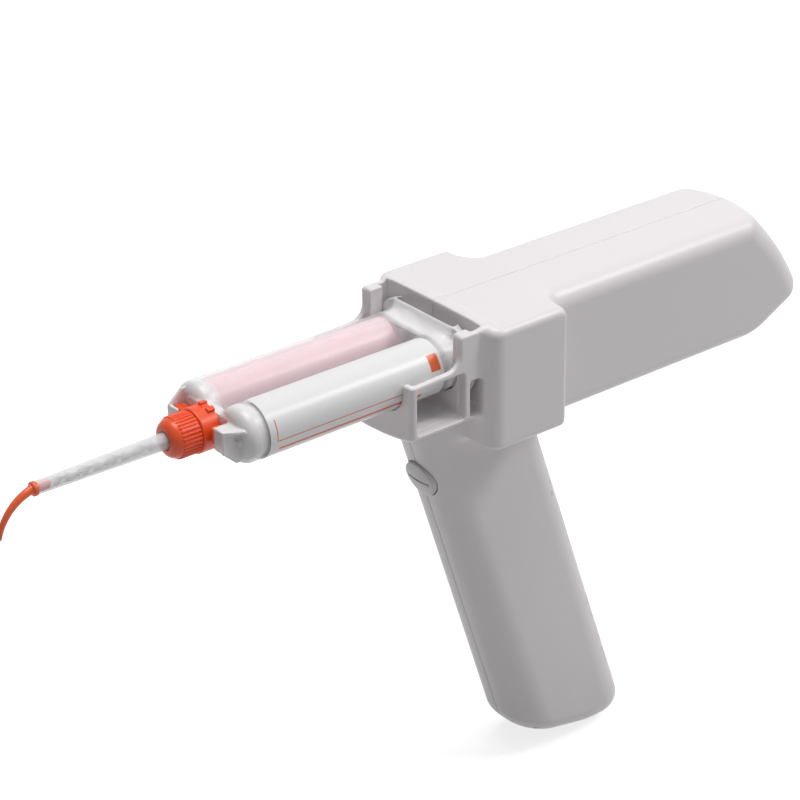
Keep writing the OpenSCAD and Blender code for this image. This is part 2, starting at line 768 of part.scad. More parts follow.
module board_screws() {
  color(steel) for (p = ctrl_posts) translate([p[0], p[1], 0]) {
    translate([0, 0, ctrl_z + board_t]) cylinder(h = 1.4, r = 2.2);
    translate([0, 0, ctrl_z - 6]) cylinder(h = 6 + board_t, r = 1);
  }
}
module limit_switch(x0, low) { block(x0, x0 + 10, -3, 3, low, yoke_hh * -1 - 1.1); }
module home_switch() { color(dark) limit_switch(yoke_front - 6, ctrl_z + board_t); }
module end_switch() { color(dark) limit_switch(guide_back, guide_low + 0.4); }

// Battery: two cells side by side along the grip, in a tray with spring contacts
module cell(k) {
  in_grip(cell_z, cell_front_depth) translate([cell_r + k * cell_lean_pitch, 0, 0]) {
    cylinder(h = cell_len - cap_h, r = cell_r);
    translate([0, 0, cell_len - cap_h - eps]) cylinder(h = cap_h + eps, r = cell_r / 3);
  }
}
module battery_front() { color("#3d6fb0") cell(0); }
module battery_rear() { color("#3d6fb0") cell(1); }
module battery_contacts() {
  color(brass) in_grip(cell_z, cell_front_depth) for (k = [0, 1]) for (e = [-contact_t, cell_len])
    translate([cell_r + k * cell_lean_pitch - contact_w / 2, -contact_w / 2, e])
      cube([contact_w, contact_w, contact_t]);
}
module battery_holder() {
  // An open frame round both cells, with end walls behind the contacts
  inside = cell_lean_pitch + 2 * cell_r + 0.1;
  holder_hw = 0.55 * cell_r;
  color(dark) in_grip(cell_z, cell_front_depth) difference() {
    translate([-holder_wall - 0.1, -holder_hw, -contact_t - holder_end])
      cube([inside + 2 * holder_wall, 2 * holder_hw, cell_len + 2 * (contact_t + holder_end)]);
    translate([-0.1, -cell_r, -contact_t]) cube([inside, 2 * cell_r, cell_len + 2 * contact_t]);
  }
}
module charging_socket() {
  color(steel) socket_place() difference() {
    translate([0, 0, 0.3]) linear_extrude(socket_len) socket_outline(0);
    translate([0, 0, -1]) linear_extrude(socket_len) socket_outline(-0.35);
  }
}
module charging_board() {
  color(board_green) socket_place() translate([0, 0, socket_len + 0.3 + board_t / 2])
    cube([2.2 * socket_w, 2 * (grip_hw1 - wall - 0.5), board_t], center = true);
}

// Cartridge
ear_in = collar_r + 2.8;
ear_out = ear_in + 5.6;
ear_hh = 5.4;
// A gusset that sweeps from the barrels' tops up to the flange
module flange_sweep() {
  rise = flange_h / 2 - barrel_r + 0.2;
  along_y(-half_pitch - 3, half_pitch + 3) polygon([
    each [for (i = [0 : 6])
      let (q = 90 * i / 6)
      [flange_front - 7 * (1 - sin(q)), barrel_r - 0.2 + rise * (1 - cos(q)) * 0.9]],
    [flange_front + 0.2, barrel_r - 1], [flange_front - 7, barrel_r - 1]
  ]);
}
module ear(s) {
  rotate([s > 0 ? 180 : 0, 0, 0]) {
    // Roof of the near ear, wider towards the barrel
    translate([0, 0, ear_hh - ear_wall]) linear_extrude(ear_wall) polygon([
      [barrel_front - ear_len, -ear_in], [barrel_front - ear_len, -ear_out],
      [barrel_front + 0.5, -half_pitch - barrel_r + 2.5], [barrel_front + 0.5, -ear_in]]);
    block(barrel_front - ear_len, barrel_front - ear_len + ear_wall, -ear_out, -ear_in, -ear_hh + 2, ear_hh);
    along_y(-ear_out, -ear_out + ear_wall) polygon([
      [barrel_front - ear_len, ear_hh], [barrel_front - ear_len, -ear_hh + 2],
      [barrel_front - 1, -ear_hh - 3], [barrel_front + 0.5, -ear_hh - 3], [barrel_front + 0.5, ear_hh]]);
  }
}
module cartridge_shell() {
  color("#f4f2f0") difference() {
    union() {
      for (s = [-1, 1]) turned(-seat_gap, s * half_pitch) polygon(rounded([
        [0, 0], [barrel_r, 0], [barrel_r, cartridge_len], [0, cartridge_len]], [0, 0, 3, 0]));
      along_x(flange_front, -seat_gap) polygon(rounded([
        [-flange_hw, -flange_h / 2], [flange_hw, -flange_h / 2], [flange_hw, flange_h / 2],
        [-flange_hw, flange_h / 2]], [11, 11, 11, 11]));
      block(barrel_front + 3, flange_front + 1, -4, 4, -1, 1);
      block(barrel_front, barrel_front + 4, -half_pitch, half_pitch, -6, 6);
      flange_sweep();
      rod_x(barrel_front - boss_len, barrel_front + 1, boss_r);
      for (s = [-1, 1]) ear(s);
      for (s = [-1, 1]) rod_x(barrel_front - 1.2, barrel_front + 1, 1.1, s * (half_pitch + 5), 0);
    }
    for (s = [-1, 1]) {
      rod_x(barrel_front + barrel_end, 1, bore_r, s * half_pitch);
      rod_x(barrel_front - boss_len - 1, barrel_front + barrel_end + 1, outlet_r, s * (boss_r - outlet_r - 0.9));
    }
  }
}
label_start = 10;
label_end = 9;
module cartridge_label() {
  color("white") difference() {
    rod_x(barrel_front + label_end, flange_front - label_start, barrel_r + label_t, -half_pitch);
    rod_x(barrel_front, 0, barrel_r + 0.03, -half_pitch);
    block(barrel_front, 0, -half_pitch + barrel_r / 2, 0, -barrel_r, barrel_r);
  }
}
// A cup piston with two sealing lands, its open side to the pusher disc
module piston(s) {
  r = bore_r - run_gap;
  turned(-seat_gap - 0.1, s * half_pitch) polygon([
    [0, piston_len], [r - 2, piston_len], [r, piston_len - 1], [r, piston_len - 2.4],
    [r - 0.8, piston_len - 2.4], [r - 0.8, 2], [r, 2], [r, 0], [r - 1.6, 0],
    [r - 1.6, piston_len - 3.6], [0, piston_len - 3.6]
  ]);
}
module piston_left() { color("#d9dadb") piston(-1); }
module piston_right() { color("#d9dadb") piston(1); }

// Mixing tip
collar_rear = barrel_front - 0.8;
knurl_back = collar_rear - collar_len;
nose_back = knurl_back - knurl_len;
nose_front = nose_back - nose_len;
rib_h = 0.45;
rib_w = 0.7;
collar_in = knurl_r - rib_h - collar_wall;
nose_lip = 0.9;
edge_step = 0.1;
tube_base_r = collar_in - 0.3;
lug_out = ear_out - ear_wall - free_gap;
module bayonet_collar() {
  lug_x = barrel_front - ear_len + ear_wall + free_gap;
  root_r = knurl_r - rib_h;
  color(orange) difference() {
    union() {
      turned(collar_rear) polygon([
        [0, 0], [collar_r, 0], [collar_r, collar_len], [root_r, collar_len],
        [root_r, collar_len + knurl_len],
        each [for (i = [1 : 6])
          let (q = 90 * i / 6)
          [tube_r0 + nose_lip + (root_r - tube_r0 - nose_lip) * cos(q), collar_len + knurl_len + nose_len * sin(q)]],
        [0, collar_len + knurl_len + nose_len]]);
      for (i = [0 : knurl_count - 1]) rotate([360 * i / knurl_count, 0, 0])
        block(nose_back + edge_step, knurl_back + eps, -rib_w / 2, rib_w / 2, root_r - collar_wall / 2, knurl_r);
      // Two locking lugs and the small pointer tab on top
      for (s = [-1, 1]) block(lug_x, collar_rear, s > 0 ? collar_r - 1 : -lug_out,
        s > 0 ? lug_out : -collar_r + 1, -3.2, 3.2);
      for (q = [-6, 24]) rotate([q, 0, 0]) block(collar_rear - 3, collar_rear - edge_step, -1, 1, collar_r - 1, collar_r + 1.1);
    }
    rod_x(knurl_back - 1.5, collar_rear + 1, collar_in);
    rod_x(nose_front - 1, knurl_back, tube_r0 + 0.3);
  }
}
tube_back = barrel_front - boss_len - 0.1;
module mixing_tube() {
  base_front = knurl_back - 1.1;
  tip_x = nose_front - tube_len;
  color("#dfe6ea") difference() {
    union() {
      rod_x(base_front, tube_back, tube_base_r);
      rod_x(nose_front - 1, base_front + eps, tube_r0);
      translate([tip_x, 0, 0]) rotate([0, 90, 0])
        cylinder(h = tube_len - 1 + eps, r1 = tube_r1, r2 = tube_r0);
    }
    translate([tip_x - eps, 0, 0]) rotate([0, 90, 0])
      cylinder(h = tube_back - tip_x - 2, r1 = tube_r1 - tube_wall, r2 = tube_r0 - tube_wall);
    rod_x(tube_back - 2.2, tube_back + 1, boss_r - 1);
  }
}
element_r = tube_r1 - tube_wall - 0.15;
element_back = tube_back - 3;
plug_len = 5;
ring_len = 1.8;
tip_x0 = nose_front - tube_len;
module mixer_element() {
  pitch = (element_back - tip_x0 - plug_len - 1.5) / blade_count;
  color("#f1ece2") translate([tip_x0 + plug_len + 1, 0, 0]) rotate([0, 90, 0])
    for (k = [0 : blade_count - 1]) translate([0, 0, k * pitch]) rotate([0, 0, k * 90])
      linear_extrude(pitch + 0.05, twist = (k % 2 == 0 ? 180 : -180), slices = 8, $fn = 8)
        square([2 * element_r, 0.6], center = true);
}
// Spout: a tapering tube swept along an arc that bends downwards
spout_start = 14;
spout_end = 78;
SPOUT_RINGS = 12;
SPOUT_SIDES = 16;
function spout_point(t) =
  let (q = spout_start + (spout_end - spout_start) * t)
  [tip_x0 - ring_len - spout_bend_r * (sin(q) - sin(spout_start)), 0,
   spout_bend_r * (cos(q) - cos(spout_start))];
function spout_ring(t, r) =
  let (q = spout_start + (spout_end - spout_start) * t, c = spout_point(t))
  [for (k = [0 : SPOUT_SIDES - 1])
    let (a = 360 * k / SPOUT_SIDES)
    c + [-r * sin(a) * sin(q), r * cos(a), r * sin(a) * cos(q)]];
module spout() {
  n = SPOUT_SIDES;
  m = SPOUT_RINGS;
  outer = [for (j = [0 : m]) each spout_ring(j / m, spout_r0 + (spout_r1 - spout_r0) * j / m)];
  inner = [for (j = [0 : m]) each spout_ring(j / m, (spout_r0 + (spout_r1 - spout_r0) * j / m) * 0.55)];
  last = (m + 1) * n;
  polyhedron(
    points = [each outer, each inner],
    faces = [
      for (j = [0 : m - 1]) for (k = [0 : n - 1])
        [j * n + k, j * n + (k + 1) % n, (j + 1) * n + (k + 1) % n, (j + 1) * n + k],
      for (j = [0 : m - 1]) for (k = [0 : n - 1])
        [last + (j + 1) * n + k, last + (j + 1) * n + (k + 1) % n, last + j * n + (k + 1) % n, last + j * n + k],
      for (k = [0 : n - 1]) [(k + 1) % n, k, last + k, last + (k + 1) % n],
      for (k = [0 : n - 1])
        [m * n + k, m * n + (k + 1) % n, last + m * n + (k + 1) % n, last + m * n + k]
    ]);
}
module intraoral_tip() {
  plug_r = tube_r1 - tube_wall - run_gap;
  color(orange) {
    difference() {
      union() {
        rod_x(tip_x0 - 0.1, tip_x0 + plug_len, plug_r);
        rod_x(tip_x0 - ring_len, tip_x0 - 0.1, tube_r1 + 0.25);
      }
      rod_x(tip_x0 - ring_len - 1, tip_x0 + plug_len + 1, spout_r0 * 0.55);
    }
    spout();
  }
}

housing_left();
housing_right();
housing_screws();
rocker_button();
rocker_pin();
switch_board();
forward_switch();
reverse_switch();
rod_guide();
lead_screw();
shaft_coupling();
output_shaft();
thrust_bearing();
drive_yoke();
drive_nut();
push_rod_left();
push_rod_right();
pusher_disc_left();
pusher_disc_right();
yoke_nuts();
motor_bracket();
gearbox();
motor();
motor_screws();
control_board();
board_parts();
board_screws();
home_switch();
end_switch();
battery_front();
battery_rear();
battery_contacts();
battery_holder();
charging_socket();
charging_board();
cartridge_shell();
cartridge_label();
piston_left();
piston_right();
bayonet_collar();
mixing_tube();
mixer_element();
intraoral_tip();
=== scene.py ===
import bpy, bmesh, math
import numpy as np
from mathutils import Matrix, Vector


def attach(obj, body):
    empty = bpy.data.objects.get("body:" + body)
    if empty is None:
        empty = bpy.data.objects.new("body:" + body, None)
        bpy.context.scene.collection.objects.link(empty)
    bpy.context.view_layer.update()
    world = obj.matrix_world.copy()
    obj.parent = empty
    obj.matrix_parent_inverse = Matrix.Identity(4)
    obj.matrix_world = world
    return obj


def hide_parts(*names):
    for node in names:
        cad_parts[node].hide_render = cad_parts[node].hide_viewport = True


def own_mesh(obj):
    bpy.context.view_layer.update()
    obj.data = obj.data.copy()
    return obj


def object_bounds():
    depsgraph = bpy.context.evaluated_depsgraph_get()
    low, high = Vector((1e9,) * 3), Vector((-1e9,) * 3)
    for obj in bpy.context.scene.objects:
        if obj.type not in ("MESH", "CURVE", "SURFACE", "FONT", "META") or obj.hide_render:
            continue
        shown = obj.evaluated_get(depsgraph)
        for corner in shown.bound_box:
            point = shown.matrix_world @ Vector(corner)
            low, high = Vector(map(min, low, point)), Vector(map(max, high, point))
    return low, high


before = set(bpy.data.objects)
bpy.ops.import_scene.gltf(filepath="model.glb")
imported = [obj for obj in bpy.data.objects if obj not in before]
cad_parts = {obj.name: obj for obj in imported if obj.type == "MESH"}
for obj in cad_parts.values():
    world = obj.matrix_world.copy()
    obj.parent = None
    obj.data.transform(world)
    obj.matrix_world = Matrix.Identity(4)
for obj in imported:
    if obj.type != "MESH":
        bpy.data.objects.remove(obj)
cad_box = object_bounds()

# Housing halves
# Two mirrored shells moulded in light grey ABS and screwed together from the right side.
# Their joint runs along the top, down the head's front and down the front of the grip.
MM = 0.001


def cut(a, b, r, c=0):
    """Where both are inside, the edge rounded by r; c is the cosine between their outward normals."""
    a, b = a + r, b + r
    corner = (a > c * b) & (b > c * a)
    bend = np.sqrt(np.maximum(a * a + b * b - 2 * c * a * b, 0) / (1 - c * c))
    return np.where(corner, bend, np.maximum(a, b)) - r


def weld(a, b, r):
    """Where either is inside, with a fillet r in the corner between them."""
    return -cut(-a, -b, r)


def ease(lo, hi, v):
    """0 before lo, 1 after hi, smooth between."""
    k = np.clip((v - lo) / (hi - lo), 0, 1)
    return k * k * (3 - 2 * k)


LEAN = math.radians(17.85)
GRIP_X0 = -23.7
GRIP_BASE_Z = -186
BASE_SLOPE = math.radians(11)
BUTTON_Z = -55.3
TOP_Z = 17.6
HEAD_HALF = 35.1
HEAD_LEN = 36.8
BARREL_HALF = 24.3
BARREL_BOTTOM = -35.3
REAR_TOP_X = 152.5
REAR_TIP = (180.5, -20)
REAR_BOW = 108
CHIN_RUN = 30.5
CHIN_DROP = 15.5
CHIN_ROUND = 26
CHIN_COS = 0.891
HEAD_BOTTOM = -33.3
HEAD_CORNER = 6
BARREL_CORNER = 6.5
BLEND_R = 4.5
GRIP_TOP_Z = -20
GRIP_HALF = 14.4
GRIP_WIDER = 2.7
GRIP_DEPTH = 53.8
GRIP_DEEPER = 3.2
GRIP_CORNER = 11
GRIP_ROUNDER = 3.5
WALL = 2.4
SEAM_HALF = 0.11
SEAM_EDGE = 0.4
CRADLE_HALF = 29.3
CRADLE_FRONT = -33.8
CRADLE_ROUND = 121
CRADLE_LOW = -23
POST_FRONT = -10.6
POST_TOP = 16.2
RAIL_Z = 2.7
RAIL_SLOPE = 0.047
ROOM_HALF = 26.9
ROOM_FRONT = -31.4
ROOM_LOW = -17.2
UNDER_BACK = -8.4
UNDER_TOP = 1.7
SLOT_FRONT = -4.4
SLOT_LOW = -13.8
WINDOW_FRONT = -31
WINDOW_LOW = -17.6
WINDOW_TOP = 0.6
PITCH_HALF = 13
LOBE_R = 11.1
LOBE_SIDE = 24.1
PUSHER_HOLE_R = 9.6


def grip_front_x(z):
    return GRIP_X0 - z * math.tan(LEAN)


def body_shape(x, y, z):
    """Head, motor barrel and grip in one skin, for y on the right side."""
    head = cut(cut(-x, y - HEAD_HALF, HEAD_CORNER), x - HEAD_LEN, 2.6)
    head = cut(head, HEAD_BOTTOM - z, 3.2)
    fall = TOP_Z - REAR_TIP[1]
    back = REAR_TIP[0] - REAR_TOP_X
    long = math.hypot(fall, back)
    rear = ((x - REAR_TOP_X) * fall + (z - TOP_Z) * back) / long + y * y / REAR_BOW + 0.6
    rear = rear - 2.1 * np.clip(1 - ((z + 1) / 19) ** 2, 0, 1)
    chin = ((x - REAR_TIP[0]) * CHIN_DROP - (z - REAR_TIP[1]) * CHIN_RUN) / math.hypot(CHIN_DROP, CHIN_RUN)
    low = cut(BARREL_BOTTOM - z, chin, CHIN_ROUND, CHIN_COS)
    barrel = np.maximum(cut(y - BARREL_HALF, low, BARREL_CORNER), 18 - x)
    trunk = weld(head, barrel, BLEND_R)
    half = HEAD_HALF + (BARREL_HALF - HEAD_HALF) * ease(30, 42, x)
    top = z - TOP_Z + 1.1 * (y / half) ** 2
    soft = 3.2 + 4.4 * ease(33, 43, x)
    soft = soft - 2.3 * (1 - ease(2, 6, x)) * (1 - ease(26, 31, y)) - 1.6 * ease(146, 164, x)
    trunk = cut(trunk, cut(top, rear, 4, back / long), soft)
    k = (GRIP_TOP_Z - z) / (GRIP_TOP_Z - GRIP_BASE_Z)
    depth = GRIP_DEPTH + GRIP_DEEPER * k
    half = GRIP_HALF + GRIP_WIDER * k
    corner = GRIP_CORNER + GRIP_ROUNDER * np.clip(k, 0, 1)
    s = x - grip_front_x(z)
    side = y - half + 0.6 * ((s - depth / 2) / (depth / 2)) ** 2
    grip = cut(-s * math.cos(LEAN), side, corner)
    grip = cut(grip, (s - depth) * math.cos(LEAN), corner)
    ahead = x - grip_front_x(GRIP_BASE_Z)
    sole = -ahead * math.sin(BASE_SLOPE) - (z - GRIP_BASE_Z) * math.cos(BASE_SLOPE)
    grip = np.maximum(cut(grip, sole, 8 + 5 * ease(30, 50, s)), z + 20.5)
    return weld(trunk, grip, BLEND_R)


def cradle_shape(x, y, z):
    """The open tray in front of the head, without its hollows."""
    tray = cut(y - CRADLE_HALF, np.hypot(y, z - CRADLE_ROUND - CRADLE_LOW) - CRADLE_ROUND, 2.6)
    tray = cut(tray, CRADLE_FRONT - x, 2)
    post = cut(POST_FRONT - x, z - POST_TOP, 1.4)
    rail = z - RAIL_Z - (x - CRADLE_FRONT) * RAIL_SLOPE
    return np.maximum(cut(tray, weld(post, rail, 5.5), 0.9), x - 3)


def box_between(v, lo, hi):
    return np.maximum(lo - v, v - hi)


def cradle_hollows(x, y, z):
    """Room for the cartridge, its flange slot and the side windows."""
    room = cut(cut(y - ROOM_HALF, box_between(x, ROOM_FRONT, POST_FRONT), 0.8), ROOM_LOW - z, 1)
    under = cut(y - ROOM_HALF, box_between(x, ROOM_FRONT, UNDER_BACK), 0.8)
    under = cut(under, box_between(z, ROOM_LOW, UNDER_TOP), 1)
    slot = cut(cut(y - ROOM_HALF, box_between(x, SLOT_FRONT, 0), 0.2), SLOT_LOW - z, 0.4)
    lobes = np.minimum(np.hypot(y - PITCH_HALF, z) - LOBE_R, np.maximum(y - PITCH_HALF, -z - LOBE_R))
    lobes = np.minimum(lobes, np.maximum(y - LOBE_SIDE, -z))
    lobes = np.maximum(lobes, x)
    window = cut(WINDOW_LOW - z, z - WINDOW_TOP - (x - WINDOW_FRONT) * RAIL_SLOPE, 1.8)
    window = cut(cut(WINDOW_FRONT - x, x - UNDER_BACK, 1.8), window, 1.8)
    window = np.maximum(window, 25 - y)
    side = cut(cut(-x - 6.05, x + 0.8, 1.2), cut(-z - 18, z + 2.9, 1.2), 1.2)
    side = np.maximum(side, 22.3 - y)
    return [(room, 0.6), (under, 0.4), (lobes, 0.5), (slot, 0.3), (window, 0.7), (side, 0.7)]


def half_shell(x, y, z):
    """One housing half, hollow, cut along the joint plane."""
    body = body_shape(x, y, z)
    skin = weld(body, cradle_shape(x, y, z), 3)
    for hollow, r in cradle_hollows(x, y, z):
        skin = cut(skin, -hollow, r)
    skin = cut(skin, -(body + WALL), 0.2)
    pusher = np.maximum(np.hypot(y - PITCH_HALF, z) - PUSHER_HOLE_R, box_between(x, -1, 4))
    skin = cut(skin, -pusher, 0.2)
    return cut(skin, SEAM_HALF - y, SEAM_EDGE)


def lines(*stops):
    """Grid lines from (start, step) pairs, the last being the end."""
    out = []
    for (a, step), (b, _) in zip(stops, stops[1:]):
        n = max(1, round((b - a) / step))
        out += [a + (b - a) * i / n for i in range(n)]
    return np.array(out + [stops[-1][0]])


def slope_of(shape, p, h=0.02):
    """The gradient of shape at points p."""
    g = np.empty_like(p)
    for d in range(3):
        s = np.zeros(3)
        s[d] = h
        g[:, d] = (shape(*(p + s).T) - shape(*(p - s).T)) / (2 * h)
    return g


def skin_of(shape, gx, gy, gz):
    """A quad mesh on the zero surface of shape, with its true normals."""
    grid = np.empty((len(gx), len(gy), len(gz)))
    for i in range(0, len(gx), 16):
        grid[i:i + 16] = shape(*np.meshgrid(gx[i:i + 16], gy, gz, indexing="ij"))
    inside = grid < 0
    corners = [(a, b, c) for a in (0, 1) for b in (0, 1) for c in (0, 1)]
    cells = [s - 1 for s in grid.shape]
    view = lambda a, o: a[o[0]:o[0] + cells[0], o[1]:o[1] + cells[1], o[2]:o[2] + cells[2]]
    count = sum(view(inside, o).astype(np.int8) for o in corners)
    cell = np.argwhere((count > 0) & (count < 8))
    number = np.full(cells, -1, dtype=np.int64)
    number[tuple(cell.T)] = np.arange(len(cell))
    total = np.zeros((len(cell), 3))
    hits = np.zeros(len(cell))
    axes = (gx, gy, gz)
    for o in corners:
        for d in range(3):
            if o[d]:
                continue
            p = list(o)
            p[d] = 1
            i0, i1 = cell + o, cell + p
            f0, f1 = grid[tuple(i0.T)], grid[tuple(i1.T)]
            m = (f0 < 0) != (f1 < 0)
            t = np.where(m, f0 / np.where(m, f0 - f1, 1), 0)
            for e in range(3):
                v = axes[e][i0[:, e]] + t * (axes[e][i1[:, e]] - axes[e][i0[:, e]])
                total[:, e] += np.where(m, v, 0)
            hits += m
    points = total / hits[:, None]
    quads = []
    for d in range(3):
        e, f = (d + 1) % 3, (d + 2) % 3
        lo = [slice(1, -1)] * 3
        hi = [slice(1, -1)] * 3
        lo[d], hi[d] = slice(0, -1), slice(1, None)
        a, b = inside[tuple(lo)], inside[tuple(hi)]
        edge = np.argwhere(a != b)
        start = a[tuple(edge.T)]
        edge = edge + [0 if k == d else 1 for k in range(3)]
        ring = []
        for de, df in ((0, 0), (1, 0), (1, 1), (0, 1)):
            q = edge.copy()
            q[:, e] -= 1 - de
            q[:, f] -= 1 - df
            ring.append(number[tuple(q.T)])
        ring = np.stack(ring, 1)
        quads.append(np.where(start[:, None], ring, ring[:, ::-1]))
    quads = np.concatenate(quads)
    for _ in range(4):
        g = slope_of(shape, points)
        step = shape(*points.T) / np.maximum((g * g).sum(1), 0.2)
        points = points - g * np.clip(step, -0.4, 0.4)[:, None]
    g = slope_of(shape, points)
    return points, quads, g / np.maximum(np.linalg.norm(g, axis=1), 1e-9)[:, None]


def mesh_piece(name, points, faces, normals=None):
    """A finished piece from points in millimetres."""
    mesh = bpy.data.meshes.new(name)
    faces = faces.tolist() if isinstance(faces, np.ndarray) else faces
    mesh.from_pydata((np.asarray(points) * MM).tolist(), [], faces)
    mesh.shade_smooth()
    if normals is not None:
        mesh.normals_split_custom_set_from_vertices(np.asarray(normals).tolist())
    piece = bpy.data.objects.new(name, mesh)
    bpy.context.scene.collection.objects.link(piece)
    return piece


gx = lines((-34.6, 0.55), (1.5, 0.8), (12, 1.3), (31, 0.8), (43, 2.2), (60.5, 0.6), (68, 2.2),
           (138, 1.3), (183, 1))
gy = lines((-0.05, 0.13), (0.6, 0.35), (1.3, 1.2), (22.6, 0.6), (29.8, 0.8), (36.4, 1))
gz = lines((-199.5, 1), (-172, 2.4), (-66, 1.1), (-40, 1), (-25, 0.6), (19, 1))
points, quads, normals = skin_of(half_shell, gx, gy, gz)
mirror = np.array([1, -1, 1])
housing_right = mesh_piece("skin_right", points, quads, normals)
housing_left = mesh_piece("skin_left", points * mirror, quads[:, ::-1], normals * mirror)


def add_node(tree, kind, inputs=None, **settings):
    """A shader or geometry node with its settings, and its inputs set or linked by name."""
    node = tree.nodes.new(kind)
    for key, value in settings.items():
        setattr(node, key, value)
    for key, value in (inputs or {}).items():
        if isinstance(value, bpy.types.NodeSocket):
            tree.links.new(value, node.inputs[key])
        else:
            node.inputs[key].default_value = value
    return node


def reckon(tree, operation, *values, **settings):
    """The result of a sum on sockets and numbers."""
    inputs = dict(enumerate(values))
    return add_node(tree, "ShaderNodeMath", inputs, operation=operation, **settings).outputs[0]


def noise(tree, place, scale, detail):
    """A cloudy pattern from 0 to 1."""
    inputs = {"Vector": place, "Scale": scale, "Detail": detail}
    return add_node(tree, "ShaderNodeTexNoise", inputs).outputs["Fac"]


def ramp(tree, value, low, high):
    """A value from 0 to 1 made to run from low to high."""
    return add_node(tree, "ShaderNodeMapRange", {"Value": value, "To Min": low, "To Max": high}).outputs[0]


def emboss(tree, shader, height, strength, deep):
    """Raises a pattern by a depth in metres."""
    bump = add_node(tree, "ShaderNodeBump", {"Height": height, "Strength": strength, "Distance": deep})
    tree.links.new(bump.outputs["Normal"], shader.inputs["Normal"])


def effect_group(name, inputs, outputs):
    """An empty shader group with named sockets, given as (name, kind, value)."""
    tree = bpy.data.node_groups.new(name, "ShaderNodeTree")
    for label, kind, value in inputs:
        socket = tree.interface.new_socket(label, in_out="INPUT", socket_type=kind)
        socket.default_value = value
    for label, kind in outputs:
        tree.interface.new_socket(label, in_out="OUTPUT", socket_type=kind)
    return tree, tree.nodes.new("NodeGroupInput"), tree.nodes.new("NodeGroupOutput")


def new_finish(name):
    """A material with its tree, its shader and the piece's own coordinates."""
    finish = bpy.data.materials.new(name)
    finish.use_nodes = True
    tree = finish.node_tree
    place = add_node(tree, "ShaderNodeTexCoord").outputs["Object"]
    return finish, tree, tree.nodes["Principled BSDF"], place


# The texture that a spark-eroded mould leaves on plastic
mould_grain, enter, leave = effect_group(
    "Mould grain",
    [("Place", "NodeSocketVector", (0, 0, 0)), ("Colour", "NodeSocketColor", (0.8, 0.8, 0.8, 1)),
     ("Grain size mm", "NodeSocketFloat", 0.4), ("Clouding", "NodeSocketFloat", 0.04),
     ("Roughness", "NodeSocketFloat", 0.4)],
    [("Colour", "NodeSocketColor"), ("Roughness", "NodeSocketFloat"), ("Height", "NodeSocketFloat")])
density = reckon(mould_grain, "DIVIDE", 1000.0, enter.outputs["Grain size mm"])
grain = noise(mould_grain, enter.outputs["Place"], density, 2.0)
cloud = noise(mould_grain, enter.outputs["Place"], 24.0, 3.0)
drift = reckon(mould_grain, "SUBTRACT", cloud, 0.5)
drift = reckon(mould_grain, "MULTIPLY", drift, enter.outputs["Clouding"])
shade = add_node(mould_grain, "ShaderNodeHueSaturation",
                 {"Value": reckon(mould_grain, "ADD", drift, 1.0), "Color": enter.outputs["Colour"]})
sheen = reckon(mould_grain, "ADD", reckon(mould_grain, "MULTIPLY", drift, 1.6), enter.outputs["Roughness"])
mould_grain.links.new(shade.outputs["Color"], leave.inputs["Colour"])
mould_grain.links.new(sheen, leave.inputs["Roughness"])
mould_grain.links.new(grain, leave.inputs["Height"])


def surfaced(name, effect, values, relief, deep):
    """A finish whose colour, roughness and bump come from an effect group."""
    finish, tree, shader, place = new_finish(name)
    group = add_node(tree, "ShaderNodeGroup", {"Place": place, **values}, node_tree=effect)
    tree.links.new(group.outputs["Colour"], shader.inputs["Base Color"])
    tree.links.new(group.outputs["Roughness"], shader.inputs["Roughness"])
    emboss(tree, shader, group.outputs["Height"], relief, deep)
    return finish, tree, shader, place


def moulded(name, colour, roughness, grain_mm=0.4, relief=0.25, clouding=0.05, coat=0.0):
    """Injection-moulded plastic with its mould's grain."""
    values = {"Colour": (*colour, 1), "Grain size mm": grain_mm, "Clouding": clouding, "Roughness": roughness}
    finish, _, shader, _ = surfaced(name, mould_grain, values, relief, 0.04 * MM)
    shader.inputs["Coat Weight"].default_value = coat
    return finish


def wear(piece, finish):
    """Gives the whole piece one finish."""
    piece.data.materials.clear()
    piece.data.materials.append(finish)


def dress(finish, *nodes):
    """Gives CAD nodes one finish."""
    for node in nodes:
        wear(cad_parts[node], finish)


def install(piece, body, finish, slot, *nodes):
    """Puts a finished piece on its body in place of its CAD nodes."""
    wear(piece, finish)
    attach(piece, body)
    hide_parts(*nodes)


